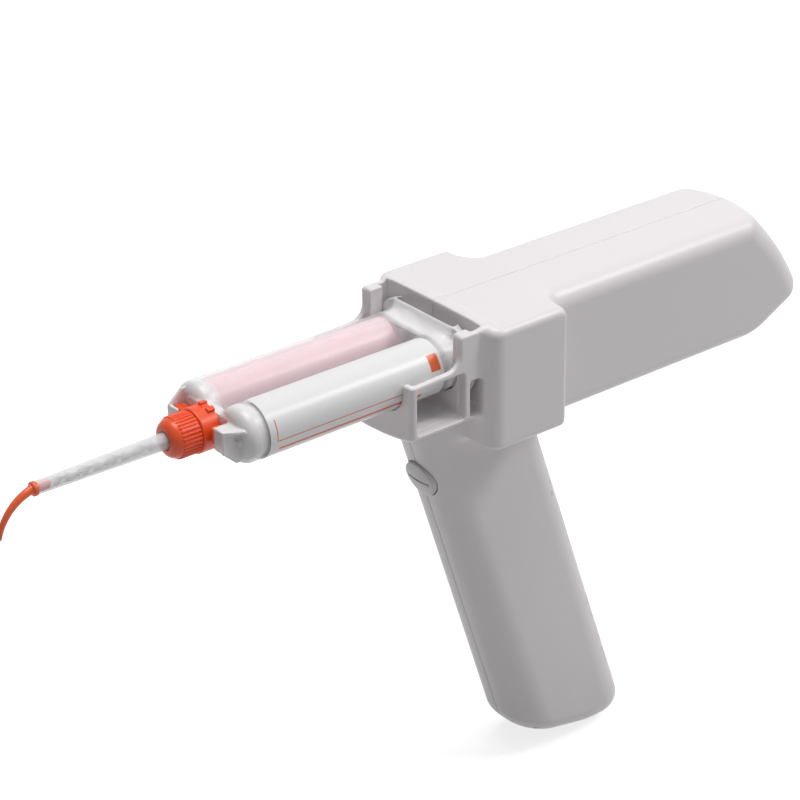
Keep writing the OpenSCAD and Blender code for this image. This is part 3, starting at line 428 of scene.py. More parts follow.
def drill(piece, shape, drills):
    """Drills round holes, given as (foot, direction, radius, depth), and keeps the skin's true normals."""
    bits = bmesh.new()
    for foot, direction, radius, depth in drills:
        aim = Vector(direction).normalized()
        seat = Matrix.Translation((Vector(foot) + aim * depth / 2) * MM)
        seat = seat @ aim.to_track_quat("Z", "Y").to_matrix().to_4x4()
        bmesh.ops.create_cone(bits, cap_ends=True, segments=96, radius1=radius * MM, radius2=radius * MM,
                              depth=depth * MM, matrix=seat)
    bit_mesh = bpy.data.meshes.new("drills")
    bits.to_mesh(bit_mesh)
    bits.free()
    cutter = bpy.data.objects.new("drills", bit_mesh)
    bpy.context.scene.collection.objects.link(cutter)
    boolean = piece.modifiers.new("Holes", "BOOLEAN")
    boolean.object = cutter
    boolean.operation = "DIFFERENCE"
    drilled = bpy.data.meshes.new_from_object(piece.evaluated_get(bpy.context.evaluated_depsgraph_get()))
    piece.modifiers.clear()
    piece.data = drilled
    bpy.data.objects.remove(cutter)
    place = np.empty(len(drilled.vertices) * 3)
    drilled.vertices.foreach_get("co", place)
    place = place.reshape(-1, 3) / MM
    slope = slope_of(shape, place)
    slope /= np.maximum(np.linalg.norm(slope, axis=1), 1e-9)[:, None]
    corner = np.empty(len(drilled.loops), dtype=np.int64)
    drilled.loops.foreach_get("vertex_index", corner)
    sides = np.empty(len(drilled.polygons), dtype=np.int64)
    drilled.polygons.foreach_get("loop_total", sides)
    flat = np.empty(len(drilled.polygons) * 3)
    drilled.polygons.foreach_get("normal", flat)
    flat = np.repeat(flat.reshape(-1, 3), sides, axis=0)
    normal = slope[corner]
    on_hole = np.zeros(len(place), dtype=bool)
    for foot, direction, radius, _ in drills:
        away = np.cross(place - foot, np.array(direction) / np.linalg.norm(direction))
        on_hole |= np.linalg.norm(away, axis=1) < radius + 0.02
    agree = ((normal * flat).sum(1) > 0.9) | ~on_hole[corner]
    drilled.normals_split_custom_set(np.where(agree[:, None], normal, flat).tolist())


out_dir = np.array([-math.cos(LEAN), 0, -math.sin(LEAN)])
button_seat = np.array([grip_front_x(BUTTON_Z), 0, BUTTON_Z])
BUTTON_HOLE_R = 8.15
BUTTON_HOLE_DEPTH = 5.9
DRILL_LEN = 20
button_hole = (button_seat - BUTTON_HOLE_DEPTH * out_dir, out_dir, BUTTON_HOLE_R, DRILL_LEN)
PORT_BACK = 28.5
PORT_R = 1.9
PORT_HALF = 2.8
PORT_DEPTH = 12
base_dir = np.array([-math.sin(BASE_SLOPE), 0, -math.cos(BASE_SLOPE)])
port_seat = np.array([grip_front_x(GRIP_BASE_Z) + PORT_BACK * math.cos(BASE_SLOPE), 0,
                      GRIP_BASE_Z - PORT_BACK * math.sin(BASE_SLOPE)])
SCREW_SINK = 1.6
GRIP_SCREW_SINK = 2.8
SCREW_GRIP_TOP = -20.2
screw_places = [(29.8, 12.2, HEAD_HALF), (46, -27, BARREL_HALF), (132, -27, BARREL_HALF),
                (160.5, -12, BARREL_HALF)]
for depth, z in ((7.4, -88), (7.4, -169), (45.8, -62)):
    half = GRIP_HALF + GRIP_WIDER * (SCREW_GRIP_TOP - z) / (SCREW_GRIP_TOP - GRIP_BASE_Z)
    screw_places.append((grip_front_x(z) + depth, z, half - GRIP_SCREW_SINK))
WELL_SPARE = 0.5
WELL_R = 2.6
WELL_LEN = 8
wells = [((x, half - SCREW_SINK - WELL_SPARE, z), (0, 1, 0), WELL_R, WELL_LEN) for x, z, half in screw_places]


def left_half(x, y, z):
    return half_shell(x, -y, z)


for piece, shape, side in ((housing_right, half_shell, 1), (housing_left, left_half, -1)):
    port_foot = port_seat - PORT_DEPTH * base_dir + [0, side * PORT_HALF, 0]
    holes = [button_hole, (port_foot, base_dir, PORT_R, DRILL_LEN)]
    drill(piece, shape, holes + (wells if side > 0 else []))
shell_plastic = moulded("Housing plastic", (0.80, 0.764, 0.782), 0.34, grain_mm=0.35, relief=0.22,
                        clouding=0.03)
install(housing_left, "gun", shell_plastic, "shell", "housing_left")
install(housing_right, "gun", shell_plastic, "shell", "housing_right")

# Housing screws
# Seven zinc-plated self-tapping screws, driven from the right side into bosses in the left half.
# Their heads sit in round wells and carry a cross recess.
machine_marks, enter, leave = effect_group(
    "Machine marks",
    [("Place", "NodeSocketVector", (0, 0, 0)), ("Colour", "NodeSocketColor", (0.6, 0.6, 0.6, 1)),
     ("Marks per mm", "NodeSocketFloat", 6.0), ("Roughness", "NodeSocketFloat", 0.3)],
    [("Colour", "NodeSocketColor"), ("Roughness", "NodeSocketFloat"), ("Height", "NodeSocketFloat")])
pitch = reckon(machine_marks, "MULTIPLY", enter.outputs["Marks per mm"], 1000.0)
stretch = add_node(machine_marks, "ShaderNodeVectorMath", {0: enter.outputs["Place"], 1: (1.0, 0.06, 0.06)},
                   operation="MULTIPLY")
marks = noise(machine_marks, stretch.outputs[0], pitch, 2.0)
stain = noise(machine_marks, enter.outputs["Place"], 160.0, 4.0)
shade = add_node(machine_marks, "ShaderNodeHueSaturation",
                 {"Value": ramp(machine_marks, stain, 0.86, 1.1), "Color": enter.outputs["Colour"]})
rough = reckon(machine_marks, "ADD", ramp(machine_marks, marks, -0.08, 0.14), enter.outputs["Roughness"])
machine_marks.links.new(shade.outputs["Color"], leave.inputs["Colour"])
machine_marks.links.new(rough, leave.inputs["Roughness"])
machine_marks.links.new(marks, leave.inputs["Height"])


def machined(name, colour, roughness, marks_per_mm=6.0, relief=0.2):
    """Turned, ground or drawn metal with the marks of its tool."""
    values = {"Colour": (*colour, 1), "Marks per mm": marks_per_mm, "Roughness": roughness}
    finish, _, shader, _ = surfaced(name, machine_marks, values, relief, 0.03 * MM)
    shader.inputs["Metallic"].default_value = 1.0
    return finish


zinc = machined("Zinc plate", (0.62, 0.63, 0.66), 0.34)
dress(zinc, "housing_screws")

# Rocker button
# A round two-way rocker cap in the grip's front, moulded a shade darker than the shell.
# A groove across its crown parts forward from reverse, and it rocks on a steel cross pin.
BUTTON_R = 7.75
BUTTON_PROUD = 1.85
BUTTON_BACK = 5


def button_shape(up, y, out):
    """The cap in its own directions: up the grip, across it, and out of it."""
    round_r = np.hypot(up, y)
    crown_r = 42
    crown = np.hypot(round_r, out + crown_r - BUTTON_PROUD) - crown_r
    cap = cut(cut(round_r - BUTTON_R, crown, 0.5, 0.18), -BUTTON_BACK - out, 0.3)
    inside = cut(round_r - BUTTON_R + 1.4, out + 0.9, 0.5)
    cap = cut(cap, -inside, 0.3)
    groove = cut(np.abs(up) - 0.45, np.abs(y) - BUTTON_R + 1.7, 0.4)
    groove = np.maximum(groove, -crown - 0.6)
    return cut(cap, -groove, 0.22)


gu = lines((-8.1, 0.24), (-1, 0.1), (1, 0.24), (8.1, 1))
gv = lines((-8.1, 0.24), (8.1, 1))
go = lines((-5.3, 0.4), (-0.4, 0.14), (2.2, 1))
points, quads, normals = skin_of(button_shape, gu, gv, go)
up_dir = np.array([-math.sin(LEAN), 0, math.cos(LEAN)])
turn = np.array([up_dir, [0, 1, 0], out_dir])
button = mesh_piece("rocker_cap", points @ turn + button_seat, quads, normals @ turn)
button_plastic = moulded("Button plastic", (0.66, 0.635, 0.65), 0.34, grain_mm=0.3, relief=0.2)
install(button, "rocker", button_plastic, "button", "rocker_button")
ground_steel = machined("Ground steel", (0.70, 0.71, 0.73), 0.22, marks_per_mm=10)
dress(ground_steel, "rocker_pin")

# Switch board
# A small green circuit board across the grip with two push switches, one for each way.
# The rocker's posts press the switches' nubs.
solder_mask, tree, shader, place = new_finish("Solder mask")
tracks = add_node(tree, "ShaderNodeTexBrick",
                  {"Vector": place, "Scale": 180.0, "Mortar Size": 0.05, "Brick Width": 0.9,
                   "Row Height": 0.32, "Color1": (0.020, 0.115, 0.050, 1),
                   "Color2": (0.026, 0.135, 0.060, 1), "Mortar": (0.055, 0.230, 0.105, 1)})
pads = add_node(tree, "ShaderNodeTexVoronoi", {"Vector": place, "Scale": 330.0, "Randomness": 0.55})
pad = reckon(tree, "LESS_THAN", pads.outputs["Distance"], 0.16)
colour = add_node(tree, "ShaderNodeMix", {0: pad, 6: tracks.outputs["Color"], 7: (0.66, 0.64, 0.58, 1)},
                  data_type="RGBA")
tree.links.new(colour.outputs[2], shader.inputs["Base Color"])
tree.links.new(ramp(tree, pad, 0.32, 0.45), shader.inputs["Roughness"])
emboss(tree, shader, tracks.outputs["Fac"], 0.3, 0.05 * MM)
dress(solder_mask, "switch_board")
component_black = moulded("Black component", (0.028, 0.028, 0.032), 0.42, grain_mm=0.15, clouding=0.2)
dress(component_black, "forward_switch", "reverse_switch")

# Drive train
# A lead screw in a nylon guide pushes a yoke with two ground rods, each ending in a disc.
# The yoke's nut is brass, and a coupling joins the screw to the gearbox shaft.
guide_nylon = moulded("Glass-filled nylon", (0.075, 0.08, 0.088), 0.5, grain_mm=0.25, relief=0.5,
                      clouding=0.3)
anodised = machined("Anodised aluminium", (0.42, 0.44, 0.47), 0.4, marks_per_mm=5)
turned_alloy = machined("Turned alloy", (0.63, 0.64, 0.66), 0.3, marks_per_mm=8)
brass = machined("Turned brass", (0.70, 0.50, 0.20), 0.26, marks_per_mm=8)
gear_steel = machined("Gearbox steel", (0.48, 0.50, 0.53), 0.36, marks_per_mm=4)
dress(guide_nylon, "rod_guide")
dress(anodised, "shaft_coupling", "drive_yoke", "motor_bracket")
dress(ground_steel, "output_shaft", "push_rod_left", "push_rod_right")
dress(gear_steel, "thrust_bearing", "gearbox")
dress(turned_alloy, "pusher_disc_left", "pusher_disc_right")
dress(brass, "drive_nut")
dress(zinc, "yoke_nuts", "motor_screws")
SCREW_LEAD = 8
THREAD_STARTS = 4.0
thread_steel, tree, shader, place = new_finish("Rolled screw thread")
parts = add_node(tree, "ShaderNodeSeparateXYZ", {"Vector": place})
angle = reckon(tree, "ARCTAN2", parts.outputs["Z"], parts.outputs["Y"])
turns = reckon(tree, "MULTIPLY", parts.outputs["X"], 2 * math.pi / (SCREW_LEAD * MM))
starts = reckon(tree, "MULTIPLY", reckon(tree, "ADD", turns, angle), THREAD_STARTS)
wave = reckon(tree, "SINE", starts)
crest = add_node(tree, "ShaderNodeMapRange", {"Value": wave, "From Min": -1.0}).outputs[0]
# The colour runs dark in the thread's roots and light on its crests, following the bump: painted shade in the
# roots.
root_shade_tint = add_node(tree, "ShaderNodeMix", {0: crest, 6: (0.30, 0.30, 0.31, 1), 7: (0.72, 0.73, 0.75, 1)},
                data_type="RGBA")
tree.links.new(root_shade_tint.outputs[2], shader.inputs["Base Color"])
emboss(tree, shader, crest, 1.0, 0.4 * MM)
shader.inputs["Metallic"].default_value = 1.0
shader.inputs["Roughness"].default_value = 0.28
dress(thread_steel, "lead_screw")

# Motor
# A small direct-current motor in a drawn steel can, pressed onto its gearbox.
# It lies in a saddle in the rear of the barrel.
dress(machined("Motor can", (0.56, 0.57, 0.58), 0.3, marks_per_mm=2), "motor")

# Control electronics
# The control board stands on four posts under the drive and carries the motor switches.
# Two small limit switches stop the yoke at both ends of its travel.
dress(solder_mask, "control_board", "charging_board")
dress(component_black, "board_parts", "home_switch", "end_switch")
dress(zinc, "board_screws")

# Battery
# Two shrink-wrapped lithium cells stand side by side in the grip, in a black moulded frame.
# Nickel strips join them at both ends.
cell_wrap = moulded("Shrink wrap", (0.028, 0.120, 0.330), 0.24, grain_mm=1.5, relief=0.3, clouding=0.12,
                    coat=0.3)
dress(cell_wrap, "battery_front", "battery_rear")
dress(machined("Nickel strip", (0.66, 0.62, 0.54), 0.3, marks_per_mm=3), "battery_contacts")
dress(moulded("Holder plastic", (0.03, 0.03, 0.033), 0.5, clouding=0.2), "battery_holder")

# Charging socket
# A plated steel shell for a small flat plug, soldered to its own board inside the grip's base.
dress(machined("Plated socket", (0.62, 0.63, 0.65), 0.25, marks_per_mm=6), "charging_socket")

# Cartridge
# Two barrels with a common flange, moulded in one piece of milky polypropylene.
# The flange drops into the cradle's slot, and two hooded ears in front lock the tip.
BARREL_R = 10.6
BORE_R = 9.5
SEAT_X = -1.2
FLANGE_FRONT = -4.0
BARREL_FRONT = -101.2
BOSS_FRONT = -107.2
BOSS_R = 6.2
OUTLET_R = 1.3
EAR_FRONT = -107.8
FLANGE_HALF = 26.5
FLANGE_HIGH = 13.5
FLANGE_CORNER = 11
SADDLE_FRONT = -13.5
THICK_COVER = 0.82
EAR_IN = 11.3
EAR_OUT = 16.9


def outlined(u, v, corners):
    """Where a point lies in an anticlockwise convex outline, below zero inside."""
    far = None
    for (u0, v0), (u1, v1) in zip(corners, corners[1:] + corners[:1]):
        side = ((u - u0) * (v1 - v0) - (v - v0) * (u1 - u0)) / math.hypot(u1 - u0, v1 - v0)
        far = side if far is None else np.maximum(far, side)
    return far


def ear_shape(x, y, z):
    """The near ear: a roof over the tip's lug, a front wall and an outer wall."""
    plan = [(EAR_FRONT, -EAR_OUT), (-100.7, -21.1), (-100.7, -EAR_IN), (EAR_FRONT, -EAR_IN)]
    roof = cut(outlined(x, y, plan), box_between(z, 4.1, 5.4), 0.35)
    front = cut(cut(box_between(x, EAR_FRONT, EAR_FRONT + 1.3), box_between(y, -EAR_OUT, -EAR_IN), 0.35),
                box_between(z, -3.4, 5.2), 0.35)
    side_view = [(EAR_FRONT, -3.4), (-102.2, -8.4), (-100.7, -8.4), (-100.7, 5.2), (EAR_FRONT, 5.2)]
    side = cut(outlined(x, z, side_view), box_between(y, -EAR_OUT, -EAR_OUT + 1.3), 0.35)
    return weld(weld(roof, front, 0.4), side, 0.4)


def cartridge_shape(x, y, z):
    """Both barrels, the flange, the boss and the ears, with the bores cut out."""
    ay = np.abs(y)
    off = np.hypot(ay - PITCH_HALF, z)
    barrels = cut(cut(off - BARREL_R, BARREL_FRONT - x, 4.2), x - SEAT_X, 0.2)
    over_y = np.maximum(ay - FLANGE_HALF + FLANGE_CORNER, 0)
    over_z = np.maximum(np.abs(z) - FLANGE_HIGH + FLANGE_CORNER, 0)
    plate = cut(np.hypot(over_y, over_z) - FLANGE_CORNER, box_between(x, FLANGE_FRONT, SEAT_X), 0.5)
    shell = weld(barrels, plate, 1.2)
    saddle = cut(cut(z - 10.2, ay - 15.5, 1.5), box_between(x, -17, -2), 1)
    saddle = np.maximum(weld(saddle, plate, 6.5), np.maximum(-z, ay - 17))
    shell = weld(shell, np.maximum(saddle, SADDLE_FRONT - x), 1.0)
    web = np.maximum(np.maximum(ay - 4, np.abs(z) - 1), box_between(x, -98, -3))
    shell = weld(shell, web, 0.8)
    front = cut(cut(ay - PITCH_HALF, np.abs(z) - 6, 1), box_between(x, BARREL_FRONT, -97), 0.4)
    shell = weld(shell, front, 1.2)
    boss = cut(np.hypot(y, z) - BOSS_R, box_between(x, BOSS_FRONT, -99), 0.5)
    shell = weld(shell, boss, 0.8)
    near = y < 0
    ear = ear_shape(x, np.where(near, y, -y), np.where(near, z, -z))
    shell = weld(shell, ear, 0.7)
    peg = cut(np.hypot(ay - 18, z) - 1.1, box_between(x, BARREL_FRONT - 1.2, -99), 0.3)
    shell = weld(shell, peg, 0.3)
    bore = cut(off - BORE_R, -99.6 - x, 2.6)
    outlet = np.maximum(np.hypot(ay - 4, z) - OUTLET_R, x + 98)
    return cut(cut(shell, -bore, 0.25), -outlet, 0.25)


gx = lines((-108.6, 0.35), (-97.5, 3.2), (-18, 0.7), (-0.8, 1))
gy = lines((-27.1, 0.55), (27.1, 1))
gz = lines((-14, 0.5), (14, 1))
points, quads, normals = skin_of(cartridge_shape, gx, gy, gz)
cartridge = mesh_piece("cartridge", points, quads, normals)


def milky(name, colour, roughness, clear, dense, streak=0.0, thick_ends=None):
    """Translucent plastic: clearer face on, denser where it turns away and past the thick ends."""
    values = {"Colour": (*colour, 1), "Grain size mm": 1.2, "Clouding": 0.05, "Roughness": roughness}
    finish, tree, shader, place = surfaced(name, mould_grain, values, 0.15, 0.05 * MM)
    along = add_node(tree, "ShaderNodeVectorMath", {0: place, 1: (12.0, 420.0, 420.0)}, operation="MULTIPLY")
    flow = ramp(tree, noise(tree, along.outputs[0], 1.0, 2.0), -streak, streak)
    facing = add_node(tree, "ShaderNodeLayerWeight", {"Blend": 0.35}).outputs["Facing"]
    cover = reckon(tree, "ADD", ramp(tree, facing, clear, dense), flow, use_clamp=True)
    if thick_ends:
        middle, half = (thick_ends[0] + thick_ends[1]) / 2, (thick_ends[1] - thick_ends[0]) / 2
        run = add_node(tree, "ShaderNodeSeparateXYZ", {"Vector": place}).outputs["X"]
        off = reckon(tree, "ABSOLUTE", reckon(tree, "SUBTRACT", run, middle * MM))
        thick = add_node(tree, "ShaderNodeMapRange", {
            "Value": off, "From Min": (half - 1.5) * MM, "From Max": (half + 2.5) * MM,
            "To Max": THICK_COVER})
        cover = reckon(tree, "MAXIMUM", cover, thick.outputs[0])
    tree.links.new(cover, shader.inputs["Alpha"])
    return finish


milky_white = milky("Milky polypropylene", (0.93, 0.915, 0.92), 0.26, clear=0.16, dense=0.55,
                    thick_ends=(-93.5, -13))
install(cartridge, "gun", milky_white, "cartridge_plastic", "cartridge_shell")


# Pistons and pastes
# Each barrel holds one paste, white near and pink far, behind a moulded polyethylene cup piston.
# The push discs press on the pistons; in use the paste columns shorten as they travel, but here each is built
# at one fixed length.
def crisp(piece, crease, join=None):
    """Turns all faces outwards and keeps the edges sharper than crease, in degrees, crisp."""
    tidy = bmesh.new()
    tidy.from_mesh(piece.data)
    if join:
        bmesh.ops.remove_doubles(tidy, verts=tidy.verts, dist=join)
    bmesh.ops.recalc_face_normals(tidy, faces=tidy.faces)
    for edge in tidy.edges:
        edge.smooth = edge.calc_face_angle(3) < math.radians(crease)
    tidy.to_mesh(piece.data)
    tidy.free()


def lathe(name, outline, y=0.0, sides=96, closed=True):
    """A piece turned about the drive axis from (x, radius) points, the faces outwards."""
    rings = [[(x, y + r * math.cos(a), r * math.sin(a)) for a in np.arange(sides) * 2 * math.pi / sides]
             for x, r in outline]
    points = [p for ring in rings for p in ring]
    pairs = list(zip(range(len(outline)), range(1, len(outline))))
    if closed:
        pairs.append((len(outline) - 1, 0))
    faces = [(i * sides + k, i * sides + (k + 1) % sides, j * sides + (k + 1) % sides, j * sides + k)
             for i, j in pairs for k in range(sides)]
    piece = mesh_piece(name, points, faces)
    crisp(piece, 32, join=1e-7)
    return piece


def arc(x, r, radius, start, end, steps=6):
    """Outline points on a quarter or other arc about (x, r), angles in degrees from +x."""
    turn = [math.radians(start + (end - start) * i / steps) for i in range(steps + 1)]
    return [(x + radius * math.cos(t), r + radius * math.sin(t)) for t in turn]


PISTON_FRONT = -9.3
PASTE_END = -99.6
PASTE_R = 9.42
polyethylene = moulded("Polyethylene", (0.74, 0.74, 0.75), 0.38, grain_mm=0.6)
for side, colour, hue in ((-1, "white", (0.90, 0.88, 0.87)), (1, "pink", (0.95, 0.66, 0.72))):
    outline = [(PISTON_FRONT, 0)] + arc(PISTON_FRONT - 0.2, PASTE_R - 0.2, 0.2, 0, 90, 3)
    outline += arc(PASTE_END + 2.6, PASTE_R - 2.6, 2.5, 90, 180) + [(PASTE_END + 0.1, 0)]
    paste = lathe("paste_" + colour, outline, y=side * PITCH_HALF, closed=False)
    wear(paste, moulded("Paste " + colour, hue, 0.45, grain_mm=3.0, relief=0.3, clouding=0.08))
    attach(paste, "gun")
    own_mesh(paste)
dress(polyethylene, "piston_left", "piston_right")

# Label
# A satin white film glued round the near barrel, its corners rounded.
# It is printed with two plain orange lines, a band and a small square, and carries no words.
LABEL_START = -14
LABEL_END = -92.2
LABEL_R = 10.75
LABEL_IN = 10.64
LABEL_WRAP = math.radians(119)
LABEL_CORNER = 2.2
points, faces = [], []
along = np.linspace(LABEL_START, LABEL_END, 80)
across = 97
for x in along:
    inset = max(0.0, LABEL_CORNER - min(LABEL_START - x, x - LABEL_END))
    trim = (LABEL_CORNER - math.sqrt(max(LABEL_CORNER ** 2 - inset ** 2, 0))) / LABEL_R
    for radius in (LABEL_R, LABEL_IN):
        for a in np.linspace(-LABEL_WRAP + trim, LABEL_WRAP - trim, across):
            points.append((x, -PITCH_HALF - radius * math.cos(a), radius * math.sin(a)))
ring = 2 * across
for row in range(0, (len(along) - 1) * ring, ring):
    for a in range(row, row + across - 1):
        b = a + across
        faces.append((a, a + 1, a + ring + 1, a + ring))
        faces.append((b + 1, b, b + ring, b + ring + 1))
    b = row + across - 1
    faces.append((row, row + ring, row + ring + across, row + across))
    faces.append((b + across, b + ring + across, b + ring, b))
for row in (0, (len(along) - 1) * ring):
    for a in range(row, row + across - 1):
        end = (a, a + across, a + across + 1, a + 1)
        faces.append(end if row == 0 else end[::-1])
label = mesh_piece("label_film", points, faces)
crisp(label, 40)

label_print, tree, shader, place = new_finish("Printed film")
parts = add_node(tree, "ShaderNodeSeparateXYZ", {"Vector": place})
flip = reckon(tree, "MULTIPLY", reckon(tree, "ADD", parts.outputs["Y"], PITCH_HALF * MM), -1.0)
girth = reckon(tree, "MULTIPLY", reckon(tree, "ARCTAN2", parts.outputs["Z"], flip), LABEL_R)
run = reckon(tree, "MULTIPLY", parts.outputs["X"], 1000.0)


def within(value, lo, hi):
    """A mask that is 1 between two values, in millimetres."""
    off = reckon(tree, "ABSOLUTE", reckon(tree, "SUBTRACT", value, (lo + hi) / 2))
    half = (hi - lo) / 2
    return add_node(tree, "ShaderNodeMapRange",
                    {"Value": off, "From Min": half + 0.04, "From Max": half - 0.04}).outputs[0]


FRAME_END = (-89.4, -89.0, -1.5, 7.0)
FRAME_RULE = (-89.4, -18.0, -1.5, -1.1)
BAND = (-88.0, -24.0, -5.8, -4.6)
SQUARE = (-19.6, -15.2, 3.0, 9.5)
masks = [reckon(tree, "MULTIPLY", within(run, x0, x1), within(girth, up0, up1))
         for x0, x1, up0, up1 in (FRAME_END, FRAME_RULE, BAND, SQUARE)]
printed = masks[0]
for mask in masks[1:]:
    printed = reckon(tree, "MAXIMUM", printed, mask)
ink = noise(tree, place, 900.0, 3.0)
film = ramp(tree, ink, 0.80, 0.86)
paper = add_node(tree, "ShaderNodeCombineColor", {"Red": film, "Green": film, "Blue": film})
colour = add_node(tree, "ShaderNodeMix", {0: printed, 6: paper.outputs[0], 7: (0.80, 0.13, 0.03, 1)},
                  data_type="RGBA")
tree.links.new(colour.outputs[2], shader.inputs["Base Color"])
tree.links.new(ramp(tree, ink, 0.26, 0.36), shader.inputs["Roughness"])
emboss(tree, shader, ink, 0.08, 0.04 * MM)
install(label, "gun", label_print, "label", "cartridge_label")

# Bayonet collar
# An orange moulded collar that holds the mixing tip on the cartridge.
# Two lugs turn in under the cartridge's ears, and a ribbed band gives the fingers a hold.
COLLAR_REAR = -102.0
COLLAR_R = 8.5
KNURL_BACK = -109.6
KNURL_R = 8.0
RIB_H = 0.45
RIB_COUNT = 34
NOSE_BACK = -116.4
NOSE_FRONT = -121.0
NOSE_END_R = 4.1
COLLAR_IN = 6.85
LUG_REACH = 15.2
LUG_HALF = 3.2
LUG_FRONT = -106.1
TAB_HIGH = 1.1
TUBE_HOLE = 3.5


def nose_radius(x):
    """Radius of the domed nose at x."""
    t = np.clip((NOSE_BACK - x) / (NOSE_BACK - NOSE_FRONT), 0, 1)
    return NOSE_END_R + (KNURL_R - RIB_H - NOSE_END_R) * np.sqrt(np.maximum(1 - t * t, 0))


def collar_shape(x, y, z):
    """The rear ring with its lugs and tabs, the band under the ribs and the domed nose."""
    r = np.hypot(y, z)
    rear = cut(r - COLLAR_R, box_between(x, KNURL_BACK, COLLAR_REAR), 0.55)
    root = KNURL_R - RIB_H
    band = cut(r - root, box_between(x, NOSE_BACK - 0.5, KNURL_BACK + 1), 0.2)
    t = np.clip((NOSE_BACK - x) / (NOSE_BACK - NOSE_FRONT), 0, 1)
    dome = (r - nose_radius(x)) * (1 - 0.3 * t)
    dome = cut(dome, box_between(x, NOSE_FRONT, NOSE_BACK + 0.5), 0.7)
    body = weld(weld(rear, band, 0.25), dome, 0.3)
    ay = np.abs(y)
    lug = cut(box_between(ay, COLLAR_R - 1, LUG_REACH), np.abs(z) - LUG_HALF, 0.6)
    body = weld(body, cut(lug, box_between(x, LUG_FRONT, COLLAR_REAR), 0.6), 0.5)
    for turn in (-6, 24):
        q = math.radians(turn)
        side = y * math.cos(q) + z * math.sin(q)
        up = z * math.cos(q) - y * math.sin(q)
        tab = cut(cut(np.abs(side) - 1, box_between(up, COLLAR_R - 1, COLLAR_R + TAB_HIGH), 0.3),
                  box_between(x, COLLAR_REAR - 3, COLLAR_REAR), 0.3)
        body = weld(body, tab, 0.35)
    bore = cut(r - COLLAR_IN, KNURL_BACK - 1.5 - x, 0.4)
    return cut(cut(body, -bore, 0.25), TUBE_HOLE - r, 0.3)


gx = lines((-121.3, 0.22), (-115.8, 0.6), (-111, 0.25), (-108.6, 0.6), (-106.6, 0.25), (-101.8, 1))
gy = lines((-15.5, 0.3), (-8, 0.28), (8, 0.3), (15.5, 1))
gz = lines((-9.9, 0.28), (7.2, 0.22), (10, 1))
points, quads, normals = skin_of(collar_shape, gx, gy, gz)
collar = mesh_piece("collar", points, quads, normals)
gx = lines((NOSE_BACK - 1.6, 0.2), (KNURL_BACK + 0.2, 1))
gy = lines((-0.6, 0.1), (0.6, 1))
gz = lines((KNURL_R - 3.2, 0.14), (KNURL_R + 0.2, 1))


def rib_shape(x, y, z):
    """One grip rib on top of the band, its crown round and its front end run out."""
    crown = cut(np.abs(y) - 0.40, z - nose_radius(x) - RIB_H + 0.02, 0.34)
    crown = cut(crown, box_between(x, NOSE_BACK - 1.2, KNURL_BACK - 0.12), 0.3)
    return cut(crown, nose_radius(x) - 1.0 - z, 0.05)


points, quads, _ = skin_of(rib_shape, gx, gy, gz)
ribs = mesh_piece("collar_ribs", points, quads)
collar_orange = moulded("Orange plastic", (0.90, 0.082, 0.008), 0.30, grain_mm=0.5, relief=0.12,
                        clouding=0.06)
rib_ring = bpy.data.node_groups.new("Ring of ribs", "GeometryNodeTree")
rib_ring.interface.new_socket("Rib", in_out="INPUT", socket_type="NodeSocketGeometry")
count_socket = rib_ring.interface.new_socket("Rib count", in_out="INPUT", socket_type="NodeSocketInt")
finish_socket = rib_ring.interface.new_socket("Finish", in_out="INPUT", socket_type="NodeSocketMaterial")
rib_ring.interface.new_socket("Ribs", in_out="OUTPUT", socket_type="NodeSocketGeometry")
enter = rib_ring.nodes.new("NodeGroupInput")
leave = rib_ring.nodes.new("NodeGroupOutput")
seats = add_node(rib_ring, "GeometryNodePoints", {"Count": enter.outputs["Rib count"]})
number = add_node(rib_ring, "GeometryNodeInputIndex")
share = reckon(rib_ring, "DIVIDE", number.outputs["Index"], enter.outputs["Rib count"])
swing = reckon(rib_ring, "MULTIPLY", share, 2 * math.pi)
axis_turn = add_node(rib_ring, "ShaderNodeCombineXYZ", {"X": swing})
facing = add_node(rib_ring, "FunctionNodeEulerToRotation", {"Euler": axis_turn.outputs[0]})
placed = add_node(rib_ring, "GeometryNodeInstanceOnPoints", {
    "Points": seats.outputs[0], "Instance": enter.outputs["Rib"], "Rotation": facing.outputs[0]})
solid = add_node(rib_ring, "GeometryNodeRealizeInstances", {"Geometry": placed.outputs[0]})
dressed = add_node(rib_ring, "GeometryNodeSetMaterial", {
    "Geometry": solid.outputs[0], "Material": enter.outputs["Finish"]})
rib_ring.links.new(dressed.outputs[0], leave.inputs["Ribs"])
ring = ribs.modifiers.new("Ring", "NODES")
ring.node_group = rib_ring
ring[count_socket.identifier] = RIB_COUNT
ring[finish_socket.identifier] = collar_orange
ribs.data = bpy.data.meshes.new_from_object(ribs.evaluated_get(bpy.context.evaluated_depsgraph_get()))
ribs.modifiers.clear()
install(collar, "collar", collar_orange, "collar_orange", "bayonet_collar")
install(ribs, "collar", collar_orange, "collar_orange", "bayonet_collar")

